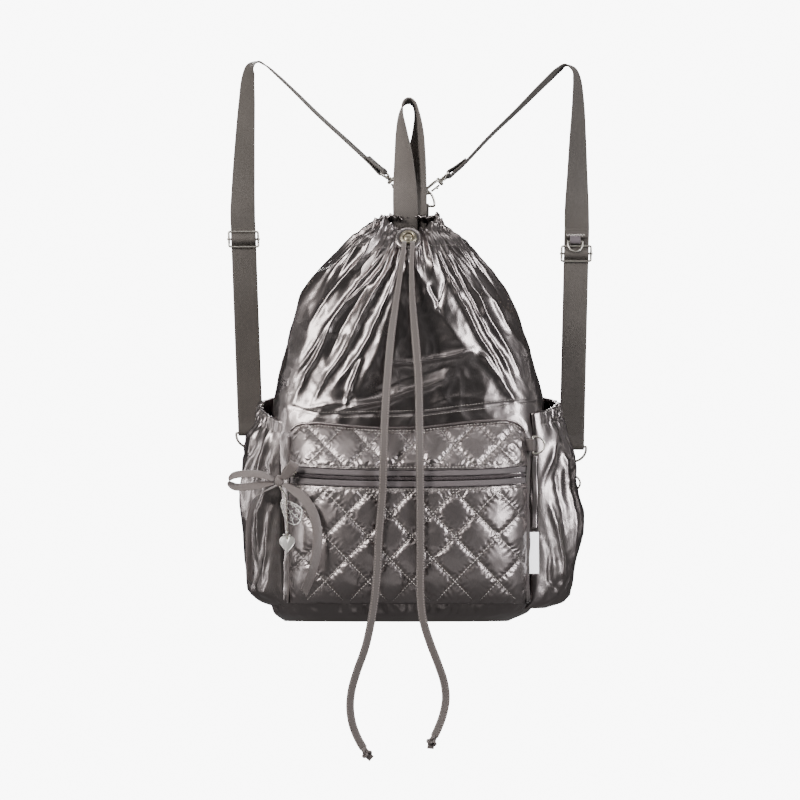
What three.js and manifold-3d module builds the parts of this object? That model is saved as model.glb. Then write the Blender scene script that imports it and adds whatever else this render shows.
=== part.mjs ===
// A quilted drawstring backpack in metallic nylon, hanging by its haul loop, in millimetres.
// +Z is up, +X is the viewer's right and -Y is the quilted front. The origin is under the loop's crown.
import * as THREE from "three";
import { mergeVertices } from "three/addons/utils/BufferGeometryUtils.js";
import Module from "manifold-3d";

const wasm = await Module();
wasm.setup();

const GAP = 0.4; // running gap between pieces that touch
const CLOTH = 2.4; // shell cloth with its lining
const PADDING = 3; // quilted cloth
const WEBBING = { width: 25, thick: 1.5 };
const TAB_THICK = 1.2;
const RING_SHOULDER = 1.6; // a D-ring's straight stretch at each end of its bar
const CORD = { width: 8, thick: 2.2 };
const RIBBON = { width: 10, thick: 1 };
const WIRE = 1.1; // radius of the strap sliders' wire
const WIRE_SIDES = 5;

const AROUND = 72; // points round the bag
const GATHERS = 18; // gathers round the drawn mouth
const LINING_SKIPS = [1, 6, 8]; // rows of the bag that its lining passes straight by

// The bag's sections from its base to its drawn mouth. x and y are the section's centre, lip is how much
// lower its front is than its back, and gather is the height of the gathers.
const BAG_ROWS = [
  { z: -517, x: -12, y: 2, half_width: 112, half_depth: 50, squareness: 2.6, gather: 0, lip: 0 },
  { z: -508, x: -8, y: 2, half_width: 127, half_depth: 59, squareness: 2.8, gather: 0, lip: 0 },
  { z: -488, x: -2, y: 2, half_width: 135, half_depth: 64, squareness: 3.2, gather: 0, lip: 0 },
  { z: -336, x: -1, y: 3, half_width: 137, half_depth: 64, squareness: 3.2, gather: 0.4, lip: 0 },
  { z: -301, x: -1, y: 3, half_width: 135, half_depth: 62, squareness: 3.0, gather: 0.8, lip: 0 },
  { z: -267, x: -2, y: 1, half_width: 127, half_depth: 59, squareness: 2.7, gather: 1.2, lip: 0 },
  { z: -210, x: -3, y: -3, half_width: 109, half_depth: 52, squareness: 2.3, gather: 2.0, lip: 0 },
  { z: -183, x: -4, y: -5, half_width: 96, half_depth: 47, squareness: 2.2, gather: 2.4, lip: 2 },
  { z: -160, x: -3, y: -8, half_width: 79, half_depth: 42, squareness: 2.1, gather: 2.6, lip: 5 },
  { z: -140, x: -1, y: -10, half_width: 59, half_depth: 36, squareness: 2.0, gather: 2.6, lip: 9 },
  { z: -125, x: 0, y: -9, half_width: 44, half_depth: 27, squareness: 2.0, gather: 2.4, lip: 13 },
  { z: -116, x: 0, y: -8, half_width: 36, half_depth: 18.5, squareness: 2.0, gather: 2.2, lip: 16 },
];

// Long folds that run down from the drawn mouth. turn_top and turn_foot are degrees round from the front,
// towards the viewer's right, and reach is how far down each fold goes.
const LONG_FOLDS = [
  { turn_top: -150, turn_foot: -100, reach: -300, height: 3, spread: 7 },
  { turn_top: -75, turn_foot: -52, reach: -310, height: 4, spread: 6 },
  { turn_top: -48, turn_foot: -34, reach: -300, height: 4, spread: 6 },
  { turn_top: 40, turn_foot: 44, reach: -320, height: 4, spread: 6 },
  { turn_top: 64, turn_foot: 56, reach: -310, height: 4, spread: 6 },
  { turn_top: 150, turn_foot: 105, reach: -300, height: 3, spread: 7 },
];

// The front pocket: how far its face stands in front of the bag at each height.
const POCKET = { left: -119.5, right: 118.5, top: -319, foot: -499, edge: 5, round: 0.42, hem: 2.5 };
const POCKET_ROWS = [
  { z: -499, forward: 8 },
  { z: -490, forward: 20 },
  { z: -470, forward: 28 },
  { z: -430, forward: 32 },
  { z: -383, forward: 32 },
  { z: -365, forward: 30 },
  { z: -342, forward: 18 },
  { z: -319, forward: 1 },
];
const QUILT = { across: 43, down: 45, x: 24.5, z: -408.7, puff: 3.5 };
const ZIPPER = {
  top: -365.5, foot: -382.8, tape: 5.8, coil: 4.2, lift: 4, slider_share: 0.26, slider_width: 8, slider_thick: 3.4,
};

// The side pockets: how far out each one bulges at each height, and the pleat that its elastic makes.
const SIDE_POCKET = { front: -40, back: 40, sewn_in: 12, thick: 2, top_rise: 12, pleats: 4, columns: 14 };
const SIDE_ROWS = [
  { z: -504, left: 128, right: 136, pleat: 0 },
  { z: -497, left: 146, right: 157, pleat: 2 },
  { z: -486, left: 158, right: 164, pleat: 1.5 },
  { z: -457, left: 162, right: 169, pleat: 0.8 },
  { z: -420, left: 167, right: 175, pleat: 0.6 },
  { z: -388, left: 171, right: 170, pleat: 0.8 },
  { z: -356, left: 166, right: 165, pleat: 1 },
  { z: -333, left: 160, right: 157, pleat: 1.4 },
  { z: -318, left: 152, right: 153, pleat: 2 },
  { z: -304, left: 149, right: 149, pleat: 2.4 },
];

// The haul loop: its centreline, with the turn of its webbing from facing the viewer (0) to edge on (90).
const HAUL_ROWS = [
  { x: -3, y: 17, z: -142, turn: 0 },
  { x: -3, y: 10.3, z: -126, turn: 0 },
  { x: -3, y: 4.4, z: -112, turn: 0 },
  { x: -3.2, y: 2.2, z: -100, turn: 6 },
  { x: -4, y: 0.8, z: -76, turn: 26 },
  { x: -5, y: 0.2, z: -52, turn: 45 },
  { x: -7, y: 0, z: -27, turn: 66 },
  { x: -7.4, y: 0, z: -9, turn: 82 },
  { x: -4.6, y: 0, z: 0.6, turn: 88 },
  { x: 0.4, y: 0, z: 3.4, turn: 90 },
  { x: 5.4, y: 0, z: 0.2, turn: 88 },
  { x: 8.4, y: 0, z: -9, turn: 82 },
  { x: 9.6, y: 0.4, z: -27, turn: 66 },
  { x: 8.2, y: 1.6, z: -52, turn: 45 },
  { x: 6.8, y: 3, z: -76, turn: 26 },
  { x: 6, y: 4.6, z: -100, turn: 6 },
  { x: 6, y: 7, z: -112, turn: 0 },
  { x: 6, y: 13, z: -126, turn: 0 },
  { x: 6, y: 19.8, z: -142, turn: 0 },
];

// The ring at the back of the mouth, and where the two snap hooks hold it.
const TOP_RING = { x: 6.5, y: 14, z: -102, width: 39, height: 20, wire: 1.25 };
const HOOK_REACH = 13; // from the ring's middle to each hook

// A snap hook's parts, as distances along it from the bar of its eye. side is half its width inside.
const HOOK = {
  length: 27, side: 4.2, skew: 35, wire: 1.3, eye_width: 28, eye_height: 6.5, eye_shoulder: 4, eye_wire: 1.2,
  post: { from: 5.6, to: 9.8, radius: 2.6 },
  collar: { from: 10.2, to: 13.4, radius: 4.6 },
  shank: { from: 11.5, bend: 14.5, crown: 25.8 },
  gate: { from: 14, to: 24.2, wire: 1.1, thumb: 17.4, thumb_height: 2.6 },
};

// A strap on its way to and from the ring at its foot, as heights above the ring's bar and distances behind
// it, and to and from its snap hook, as distances before the eye's bar and over it.
const TO_FOOT = [{ rise: 52, back: 3.2 }, { rise: 26, back: 2.6 }, { rise: 10, back: 2.6 }, { rise: 4, back: 2.4 }];
const FROM_FOOT = [{ rise: 4, back: -2.1 }, { rise: 10, back: -0.2 }, { rise: 26, back: 0.6 }, { rise: 52, back: 1.2 }];
const TO_EYE = [{ before: 16, over: 1.5 }, { before: 6, over: 2 }, { before: 1.5, over: 2.35 }];
const FROM_EYE = [{ before: 1.5, over: -2.35 }, { before: 6, over: -1.6 }, { before: 22, over: -0.9 }];

// The shoulder straps above their sliders: centreline and the turn of the webbing.
const STRAPS = {
  left: {
    pull: [0.72, -0.1, -0.69],
    slider: { x: -165.6, y: 50, z: -134.5 },
    foot: { x: -158.5, y: 56, z: -329 },
    rows: [
      { x: -166.3, y: 50, z: -96, turn: 14 },
      { x: -164.6, y: 47, z: -46, turn: 38 },
      { x: -162.3, y: 43, z: 2, turn: 56 },
      { x: -160.6, y: 40, z: 28, turn: 68 },
      { x: -157.4, y: 38, z: 39, turn: 78 },
      { x: -150.6, y: 37, z: 43, turn: 86 },
      { x: -143, y: 36, z: 39.5, turn: 88 },
      { x: -133, y: 35, z: 31, turn: 90 },
      { x: -116.5, y: 33, z: 15.5, turn: 90 },
      { x: -88.5, y: 28, z: -12, turn: 90 },
      { x: -60.5, y: 22.5, z: -37.5, turn: 90 },
    ],
  },
  right: {
    pull: [-0.78, -0.1, -0.62],
    slider: { x: 168.5, y: 50, z: -149 },
    foot: { x: 164, y: 56, z: -343 },
    rows: [
      { x: 169, y: 50, z: -110, turn: -8 },
      { x: 169.4, y: 49, z: -78, turn: -26 },
      { x: 169.9, y: 47, z: -38, turn: -46 },
      { x: 170.2, y: 43, z: 4, turn: -64 },
      { x: 168.6, y: 40, z: 27, turn: -74 },
      { x: 165, y: 38, z: 36, turn: -82 },
      { x: 158.4, y: 37, z: 39.5, turn: -86 },
      { x: 151, y: 36, z: 35.5, turn: -88 },
      { x: 136.5, y: 34.5, z: 22, turn: -90 },
      { x: 108.5, y: 30, z: -6, turn: -90 },
      { x: 80.5, y: 25, z: -33, turn: -90 },
    ],
  },
};
const BAR_PITCH = 7.6; // between the bars of a slider

// The webbing round a slider's bars, as heights above its middle bar and distances behind it.
const THROUGH_SLIDER = [
  { rise: -24, back: 2.2 },
  { rise: -9.5, back: 2.2 },
  { rise: -7.4, back: 2.15 },
  { rise: -5.6, back: 1.2 },
  { rise: -4.4, back: -0.6 },
  { rise: -3.3, back: -2.7 },
  { rise: -1.7, back: -3.9 },
  { rise: 0, back: -4.3 },
  { rise: 1.7, back: -3.9 },
  { rise: 3.3, back: -2.7 },
  { rise: 4.4, back: -0.6 },
  { rise: 5.6, back: 1.2 },
  { rise: 7.4, back: 2.15 },
  { rise: 9.5, back: 2.2 },
  { rise: 24, back: 1.4 },
];
const ROUND_MIDDLE_BAR = [
  { rise: -26, back: 6.4 },
  { rise: -9, back: 6.3 },
  { rise: -4.5, back: 5.1 },
  { rise: -1, back: 3.8 },
  { rise: 1.4, back: 1.9 },
  { rise: 2.3, back: 0 },
  { rise: 1.6, back: -1.6 },
  { rise: 0, back: -2.3 },
  { rise: -1.6, back: -1.6 },
  { rise: -2.5, back: 0.3 },
  { rise: -3.7, back: 2.2 },
  { rise: -6.4, back: 3.9 },
  { rise: -9.5, back: 4.2 },
  { rise: -26, back: 4.2 },
];

// The two tails of the drawcord, from the eyelet to their knots.
const CORD_FRONT = -99; // they hang this far forward over the front pocket
const CORD_ROWS = {
  left: [
    { x: -4.6, y: -40.6, z: -132.7 },
    { x: -4.6, y: -45.4, z: -129.4 },
    { x: -4.8, y: -49.8, z: -133 },
    { x: -6, y: -54, z: -150 },
    { x: -11.5, y: -65, z: -192 },
    { x: -17, y: -73, z: -230 },
    { x: -20.8, y: -83, z: -272 },
    { x: -23.6, y: -92, z: -315 },
    { x: -24.8, y: CORD_FRONT, z: -352 },
    { x: -26, y: CORD_FRONT, z: -390 },
    { x: -29.5, y: CORD_FRONT, z: -430 },
    { x: -31.5, y: CORD_FRONT, z: -470 },
    { x: -35, y: CORD_FRONT, z: -503 },
    { x: -42.5, y: CORD_FRONT, z: -540 },
    { x: -51.5, y: CORD_FRONT, z: -566 },
    { x: -56.5, y: CORD_FRONT, z: -584 },
    { x: -58, y: CORD_FRONT, z: -601 },
    { x: -55.5, y: CORD_FRONT, z: -618 },
    { x: -50, y: CORD_FRONT, z: -632 },
    { x: -44.6, y: CORD_FRONT, z: -641.5 },
  ],
  right: [
    { x: 4, y: -40.6, z: -132.7 },
    { x: 4, y: -45.4, z: -129.4 },
    { x: 3.8, y: -49.8, z: -133 },
    { x: 3, y: -54, z: -150 },
    { x: 3.6, y: -65, z: -192 },
    { x: 6.4, y: -73, z: -230 },
    { x: 9.6, y: -83, z: -272 },
    { x: 10.6, y: -92, z: -315 },
    { x: 11.2, y: CORD_FRONT, z: -352 },
    { x: 11.6, y: CORD_FRONT, z: -400 },
    { x: 11.8, y: CORD_FRONT, z: -450 },
    { x: 11.8, y: CORD_FRONT, z: -490 },
    { x: 14.4, y: CORD_FRONT, z: -514 },
    { x: 21, y: CORD_FRONT, z: -536 },
    { x: 29, y: CORD_FRONT, z: -557 },
    { x: 35, y: CORD_FRONT, z: -575 },
    { x: 37, y: CORD_FRONT, z: -591 },
    { x: 34.8, y: CORD_FRONT, z: -606 },
    { x: 30, y: CORD_FRONT, z: -620 },
    { x: 25.6, y: CORD_FRONT, z: -629.5 },
  ],
};
const CORD_STEP = 20;
const KNOT = { width: 10.5, thick: 6, length: 10 };
const EYELET = { x: -0.3, z: -134.5, hole: 5, rim: 8.6, thick: 2, flat_from: 12, flat_to: 20 };

// The ribbon bow tied to the zipper's pull: where each ribbon leaves its knot, the way across the ribbon,
// its centreline and, for a loop, where it comes back to the knot.
const BOW = { x: -128.5, y: -72, z: -377, half_width: 4.6, half_depth: 4.4, half_height: 6.6 };
const RIBBON_ROWS = {
  bow_loop_left: {
    leaves: [-1, -0.1, 0.3],
    across: [0.1, 0.82, 0.57],
    rows: [
      { x: -148, y: -70, z: -369.6 },
      { x: -164, y: -68, z: -369.4 },
      { x: -175, y: -66, z: -372 },
      { x: -178, y: -65.5, z: -377 },
      { x: -174, y: -66, z: -381.4 },
      { x: -164, y: -68, z: -382.6 },
      { x: -148, y: -70, z: -381 },
    ],
    returns: [-1, -0.1, -0.3],
  },
  bow_loop_right: {
    leaves: [0.5, -0.85, 0.6],
    across: [0.84, 0, -0.54],
    rows: [
      { x: -119, y: -79, z: -367.5 },
      { x: -114.5, y: -81, z: -361 },
      { x: -113.2, y: -79.5, z: -358.4 },
      { x: -113.6, y: -77, z: -359 },
      { x: -118.5, y: -75.5, z: -365 },
    ],
    returns: [0.5, -0.25, 0.9],
  },
  bow_tail_left: {
    leaves: [-0.5, -0.65, -0.75],
    across: [0.55, 0.75, 0.36],
    rows: [
      { x: -143, y: -78, z: -386.5 },
      { x: -152, y: -75, z: -393 },
      { x: -156.6, y: -69, z: -406 },
      { x: -158.4, y: -64, z: -424 },
      { x: -159, y: -61, z: -446 },
      { x: -158.6, y: -60, z: -476 },
    ],
  },
  bow_tail_right: {
    leaves: [0.8, -0.65, -0.5],
    across: [0.86, 0.3, 0.42],
    rows: [
      { x: -114, y: -84, z: -386 },
      { x: -104, y: -90, z: -394 },
      { x: -95, y: -95, z: -408 },
      { x: -90.5, y: -98, z: -426 },
      { x: -91, y: -99, z: -446 },
      { x: -96, y: -98, z: -467 },
      { x: -104.4, y: -95, z: -488 },
    ],
  },
};
const PULL = { width: 4.4, thick: 1.3 };
const CHARM = { x: -120.5, y: -81, heart_top: -431, heart_width: 15.5, heart_height: 18.5, thick: 3 };
const CHAIN_ROWS = [
  { x: -122.3, y: -81.2, z: -392 },
  { x: -121.3, y: -81, z: -405 },
  { x: -120.5, y: -81, z: -418 },
  { x: -120.5, y: -81, z: -432.5 },
];
const CHAIN_LEAVES = [0.15, -0.5, -1];
const LACE = { y: -79.4, thick: 1.2 };
const LACE_OUTLINE = [
  { x: -127.5, z: -393 },
  { x: -105.5, z: -402.5 },
  { x: -106.5, z: -410.6 },
  { x: -107.9, z: -416.8 },
  { x: -112.5, z: -421 },
  { x: -122.7, z: -416 },
];

const SEAM_RING = { x: 124, y: -53, z: -341, width: 17, height: 11.5, wire: 0.95 };
const SIDE_RING = { x: 151, y: 56, z: -379.5, width: 22, height: 21.5, wire: 1.1 };
const STRAP_RING = { x: 167.5, y: 47.9, z: -136.8, width: 15, height: 11.2, wire: 0.9 };
const FOOT_RING = {
  width: 29, height: 15, wire: 1.25, hold_turn: 50, tab_width: 9, tab_length: 40, tab_lean: 0.42, tab_slack: 0.8,
};
const LABEL = { x: 118.1, y: -46.5, top: -427.6, foot: -469, width: 12, thick: 1, turn: 15 };

const materials = {
  shell: new THREE.MeshStandardMaterial({ color: 0x6b6160, roughness: 0.32, metalness: 0.75 }),
  webbing: new THREE.MeshStandardMaterial({ color: 0x615b57, roughness: 0.8, metalness: 0 }),
  cord: new THREE.MeshStandardMaterial({ color: 0x7d7471, roughness: 0.7, metalness: 0 }),
  ribbon: new THREE.MeshStandardMaterial({ color: 0x837976, roughness: 0.5, metalness: 0 }),
  zipper: new THREE.MeshStandardMaterial({ color: 0x5a4f52, roughness: 0.7, metalness: 0 }),
  nickel: new THREE.MeshStandardMaterial({ color: 0xb0aaa0, roughness: 0.25, metalness: 1 }),
  label: new THREE.MeshStandardMaterial({ color: 0xe8e8f0, roughness: 0.8, metalness: 0 }),
};

const backpack = new THREE.Group();

const vector = (row) => new THREE.Vector3(row.x, row.y, row.z);
const X = new THREE.Vector3(1, 0, 0);
const Z = new THREE.Vector3(0, 0, 1);
const moved = (geometry, place) => geometry.translate(place.x, place.y, place.z);
const mix = (from, to, share) => from + (to - from) * share;
const power = (value, exponent) => Math.sign(value) * Math.abs(value) ** exponent;

// Every column of a table at a height, from rows that go up in z.
function rowAt(rows, z) {
  const above = Math.max(1, rows.findIndex((row) => row.z >= z));
  const [low, high] = z >= rows.at(-1).z ? rows.slice(-2) : [rows[above - 1], rows[above]];
  const share = THREE.MathUtils.clamp((z - low.z) / (high.z - low.z), 0, 1);
  return Object.fromEntries(Object.keys(low).map((key) => [key, mix(low[key], high[key], share)]));
}

// A closed body from points and triangles, turned so that its faces point out.
function closedBody(points, triangles) {
  const volume = triangles.reduce(
    (sum, [a, b, c]) => sum + points[a].dot(points[b].clone().cross(points[c])),
    0,
  );
  const facing = volume < 0 ? triangles.map(([a, b, c]) => [a, c, b]) : triangles;
  const geometry = new THREE.BufferGeometry().setFromPoints(points);
  geometry.setIndex(facing.flat());
  return geometry;
}

// A wall between an outer and an inner grid of points. Each cell is split along one diagonal, or along
// the other where swap says so.
function wall(outer, inner, swap = () => false) {
  const [rows, columns] = [outer.length, outer[0].length];
  const at = (layer, i, j) => (layer * rows + i) * columns + j;
  const triangles = [];
  const quad = (a, b, c, d) => triangles.push([a, b, c], [a, c, d]);
  for (let i = 0; i + 1 < rows; i++) {
    for (let j = 0; j + 1 < columns; j++) {
      const corners = [[i, j], [i, j + 1], [i + 1, j + 1], [i + 1, j]];
      if (swap(i, j)) corners.push(corners.shift());
      const [a, b, c, d] = corners;
      quad(at(0, ...a), at(0, ...b), at(0, ...c), at(0, ...d));
      quad(at(1, ...a), at(1, ...d), at(1, ...c), at(1, ...b));
    }
    quad(at(0, i, 0), at(0, i + 1, 0), at(1, i + 1, 0), at(1, i, 0));
    quad(at(0, i + 1, columns - 1), at(0, i, columns - 1), at(1, i, columns - 1), at(1, i + 1, columns - 1));
  }
  for (let j = 0; j + 1 < columns; j++) {
    quad(at(0, 0, j + 1), at(0, 0, j), at(1, 0, j), at(1, 0, j + 1));
    quad(at(0, rows - 1, j), at(0, rows - 1, j + 1), at(1, rows - 1, j + 1), at(1, rows - 1, j));
  }
  return closedBody([...outer.flat(), ...inner.flat()], triangles);
}

// Rings of points skinned in order, closed at both ends by a fan.
function skin(rings) {
  const count = rings[0].length;
  const points = rings.flat();
  const triangles = [];
  rings.slice(1).forEach((ring, i) => {
    for (let j = 0; j < count; j++) {
      const [a, b] = [i * count + j, i * count + ((j + 1) % count)];
      triangles.push([a, b, b + count], [a, b + count, a + count]);
    }
  });
  [rings[0], rings.at(-1)].forEach((ring, end) => {
    const centre = points.push(ring.reduce((sum, p) => sum.add(p), new THREE.Vector3()).divideScalar(count)) - 1;
    const start = end ? (rings.length - 1) * count : 0;
    for (let j = 0; j < count; j++) {
      const [a, b] = [start + j, start + ((j + 1) % count)];
      triangles.push(end ? [a, b, centre] : [b, a, centre]);
    }
  });
  return closedBody(points, triangles);
}

// Sweeps an outline of {across, through} points along a line of points. across gives the way across the
// outline at each point, and a closed line joins its own start.
function sweep(outline, line, across, closed = false) {
  const rings = line.map((point, i) => {
    const before = line[closed ? (i + line.length - 1) % line.length : Math.max(0, i - 1)];
    const after = line[closed ? (i + 1) % line.length : Math.min(line.length - 1, i + 1)];
    const along = after.clone().sub(before).normalize();
    const through = along.clone().cross(across(i)).normalize();
    const side = through.clone().cross(along).normalize();
    return outline.map((corner) =>
      point.clone().addScaledVector(side, corner.across).addScaledVector(through, corner.through));
  });
  if (!closed) return skin(rings);
  const count = outline.length;
  const triangles = rings.flatMap((ring, i) => ring.flatMap((_, j) => {
    const next = ((i + 1) % rings.length) * count;
    const [a, b] = [i * count + j, i * count + ((j + 1) % count)];
    const [c, d] = [next + ((j + 1) % count), next + j];
    return [[a, b, c], [a, c, d]];
  }));
  return closedBody(rings.flat(), triangles);
}

const flatOutline = (width, thick) => [[-1, -1], [1, -1], [1, 1], [-1, 1]]
  .map(([a, t]) => ({ across: (a * width) / 2, through: (t * thick) / 2 }));

const roundOutline = (radius, sides) => Array.from({ length: sides }, (_, i) => {
  const angle = ((i + 0.5) / sides) * 2 * Math.PI;
  return { across: radius * Math.cos(angle), through: radius * Math.sin(angle) };
});

const turned = (degrees) => {
  const angle = THREE.MathUtils.degToRad(degrees);
  return new THREE.Vector3(Math.cos(angle), -Math.sin(angle), 0);
};

// The closed solid of a geometry, for joining and cutting.
function solid(geometry) {
  const bare = geometry.clone();
  bare.deleteAttribute("normal");
  bare.deleteAttribute("uv");
  const merged = mergeVertices(bare, 1e-4);
  return new wasm.Manifold(new wasm.Mesh({
    numProp: 3,
    vertProperties: Float32Array.from(merged.attributes.position.array),
    triVerts: Uint32Array.from(merged.index.array),
  }));
}

function fromSolid(made) {
  const { vertProperties, triVerts } = made.getMesh();
  const geometry = new THREE.BufferGeometry();
  geometry.setAttribute("position", new THREE.BufferAttribute(vertProperties, 3));
  geometry.setIndex(new THREE.BufferAttribute(triVerts, 1));
  return geometry;
}

const largest = (made) => made.decompose().sort((a, b) => b.volume() - a.volume())[0];
const joined = (...geometries) => fromSolid(geometries.map(solid).reduce((sum, next) => sum.add(next)));
const cut = (geometry, ...tools) => fromSolid(largest(
  tools.reduce((rest, tool) => rest.subtract(tool), solid(geometry)),
));

function add(name, geometry, material) {
  const mesh = new THREE.Mesh(geometry, material);
  mesh.name = name;
  backpack.add(mesh);
}

const foldAt = (turn, z) => LONG_FOLDS.reduce((sum, fold) => {
  const down = THREE.MathUtils.clamp((z + 140) / (fold.reach + 140), 0, 1);
  const away = turn - mix(fold.turn_top, fold.turn_foot, down);
  return sum + fold.height * Math.sin(Math.PI * down) * Math.exp(-((away / fold.spread) ** 2));
}, 0);

// One ring of the bag's wall, moved inwards by inset.
function bagRing(row, inset) {
  return Array.from({ length: AROUND }, (_, i) => {
    const angle = (i / AROUND) * 2 * Math.PI - Math.PI;
    const [sine, cosine] = [Math.sin(angle), Math.cos(angle)];
    const turn = THREE.MathUtils.radToDeg(angle);
    const share = THREE.MathUtils.smoothstep(cosine, -0.9, -0.3)
      * THREE.MathUtils.smoothstep(Math.abs(turn), EYELET.flat_from, EYELET.flat_to);
    const gather = row.gather * share * Math.cos(GATHERS * angle) + (row.gather > 0 ? foldAt(turn, row.z) : 0);
    return new THREE.Vector3(
      row.x + (row.half_width - inset) * power(sine, 2 / row.squareness) + gather * sine,
      row.y - (row.half_depth - inset) * power(cosine, 2 / row.squareness) - gather * cosine,
      row.z - (row.lip / 2) * cosine,
    );
  });
}

// The bag's front face, without its folds, at a place across and up.
function bagFront(x, z) {
  const row = rowAt(BAG_ROWS, z);
  const across = Math.min(1, Math.abs(x - row.x) / row.half_width);
  return row.y - row.half_depth * (1 - across ** row.squareness) ** (1 / row.squareness);
}

// A filled copy of the bag, grown by the gap, that trims what is sewn to it.
const bagFilled = solid(skin(BAG_ROWS.map((row) => bagRing(row, -GAP))));

// Turns a geometry made round the Z axis to face straight out of the bag at the eyelet.
function atEyelet(geometry) {
  const line = BAG_ROWS.map((row) => ({ y: row.y - row.half_depth, z: row.z - row.lip / 2 }));
  const high = line.find((row) => row.z >= EYELET.z);
  const low = line[line.indexOf(high) - 1];
  const lean = Math.atan2(high.y - low.y, high.z - low.z);
  return geometry.rotateX(Math.PI / 2 - lean).translate(EYELET.x, rowAt(line, EYELET.z).y, EYELET.z);
}

function makeBag() {
  const inner = BAG_ROWS.filter((_, i) => !LINING_SKIPS.includes(i)).reverse();
  const floor = BAG_ROWS[0].z + CLOTH;
  const inside = inner.map((row) => (row.z === BAG_ROWS[0].z
    ? bagRing({ ...rowAt(BAG_ROWS, floor), z: floor }, CLOTH)
    : bagRing(row, CLOTH)));
  const cup = skin([...BAG_ROWS.map((row) => bagRing(row, 0)), ...inside]);
  const hole = atEyelet(new THREE.CylinderGeometry(EYELET.hole, EYELET.hole, 24, 12).rotateX(Math.PI / 2));
  add("bag_body", cut(cup, solid(hole)), materials.shell);
}

const zipperLift = (x) => ZIPPER.lift * (Math.abs(x) / POCKET.right) ** 2.4;

// The pocket's face: full in the middle, and rounded back to the bag at both sides.
function pocketFace(x, z) {
  const middle = (POCKET.left + POCKET.right) / 2;
  const across = Math.min(1, Math.abs(x - middle) / ((POCKET.right - POCKET.left) / 2));
  const forward = rowAt(POCKET_ROWS, z).forward * (1 - across ** POCKET.edge) ** POCKET.round;
  return bagFront(x, z) - forward;
}

// How far the quilting stands out: nothing on a stitch line and most in the middle of a diamond.
function puffAt(x, z) {
  const [u, v] = [(x - QUILT.x) / QUILT.across, (z - QUILT.z) / QUILT.down];
  return QUILT.puff * Math.sqrt(Math.abs(Math.sin(Math.PI * (u + v)) * Math.sin(Math.PI * (u - v))));
}

// Half diamonds across the pocket, between its two hems.
function quiltColumns() {
  const step = QUILT.across / 2;
  const [left, right] = [POCKET.left + POCKET.hem, POCKET.right - POCKET.hem];
  const first = Math.ceil((left + 4 - QUILT.x) / step);
  const last = Math.floor((right - 4 - QUILT.x) / step);
  const inside = Array.from({ length: last - first + 1 }, (_, i) => QUILT.x + (first + i) * step);
  return [POCKET.left, left, ...inside, right, POCKET.right];
}

// A panel of the pocket between heights, with its outer and inner grid of points. Its cells are split
// along the stitch lines, which are where nothing puffs out.
function pocketPanel(heights, columns, recess, thick, puff = () => 0) {
  const grid = (depth) => heights.map((height) => columns.map((x) => {
    const z = height.z + zipperLift(x) * height.lift;
    const out = depth === 0 ? puff(x, height) : 0;
    return new THREE.Vector3(x, pocketFace(x, z) + recess + depth - out, z);
  }));
  const swap = (i, j) => puff(columns[j], heights[i]) > puff(columns[j + 1], heights[i]);
  return cut(wall(grid(0), grid(thick), swap), bagFilled);
}

function makePocket() {
  const columns = quiltColumns();
  const within = (x) => x > POCKET.left + POCKET.hem && x < POCKET.right - POCKET.hem;
  const puff = (x, height) => (within(x) && !height.hem ? puffAt(x, height.quilt) : 0);
  const lid = [0, 1, 2, 3, 4].map((i) => ({
    z: mix(ZIPPER.top, POCKET.top, i / 4),
    lift: 1 - i / 4,
    quilt: QUILT.z + QUILT.down + (i * QUILT.down) / 2,
    hem: i === 0 || i === 4,
  }));
  add("pocket_lid", pocketPanel(lid, columns, 0, PADDING, puff), materials.shell);

  const rows = [4, 3, 2, 1, 0].map((i) => ({ z: QUILT.z - (i * QUILT.down) / 2, hem: false }));
  const front = [{ z: POCKET.foot, hem: true }, ...rows, { z: ZIPPER.foot - GAP, hem: true }]
    .map(({ z, hem }) => ({ z, hem, quilt: z, lift: THREE.MathUtils.clamp(1 - (ZIPPER.foot - z) / 60, 0, 1) }));
  add("pocket_front", pocketPanel(front, columns, 0, PADDING, puff), materials.shell);
}

function makeZipper() {
  const columns = Array.from({ length: 13 }, (_, i) => mix(POCKET.left + 2, POCKET.right - 2, i / 12));
  const strip = (high, tall, recess, thick) => pocketPanel(
    [{ z: high - tall, lift: 1 }, { z: high, lift: 1 }], columns, recess, thick);
  const tapeTop = ZIPPER.top - GAP;
  add("zipper_tape_upper", strip(tapeTop, ZIPPER.tape, 1, 1.2), materials.zipper);
  add("zipper_coil", strip(tapeTop - ZIPPER.tape - GAP, ZIPPER.coil, 0, 2.4), materials.zipper);
  const lower = tapeTop - ZIPPER.tape - ZIPPER.coil - 2 * GAP;
  add("zipper_tape_lower", strip(lower, ZIPPER.tape, 1, 1.2), materials.zipper);
  const z = tapeTop - ZIPPER.tape - ZIPPER.coil / 2 + ZIPPER.lift;
  const [from, to] = columns.slice(0, 2).map((x) => new THREE.Vector3(x, pocketFace(x, z), z));
  const turn = Math.atan2(to.y - from.y, to.x - from.x);
  const place = from.lerp(to, ZIPPER.slider_share);
  const slider = new THREE.BoxGeometry(ZIPPER.slider_width, ZIPPER.slider_thick, ZIPPER.slider_width);
  slider.translate(0, -ZIPPER.slider_thick / 2 - 2 * GAP, 0).rotateZ(turn);
  add("zipper_slider", moved(slider, place), materials.nickel);
  const out = new THREE.Vector3(Math.sin(turn), -Math.cos(turn), 0);
  const start = place.addScaledVector(out, ZIPPER.slider_thick + 5 * GAP);
  const end = onKnot(start.clone().sub(vector(BOW)));
  const tab = sweep(flatOutline(PULL.width, PULL.thick), [start, end], () => Z);
  add("zipper_pull", tab, materials.nickel);
}

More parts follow.
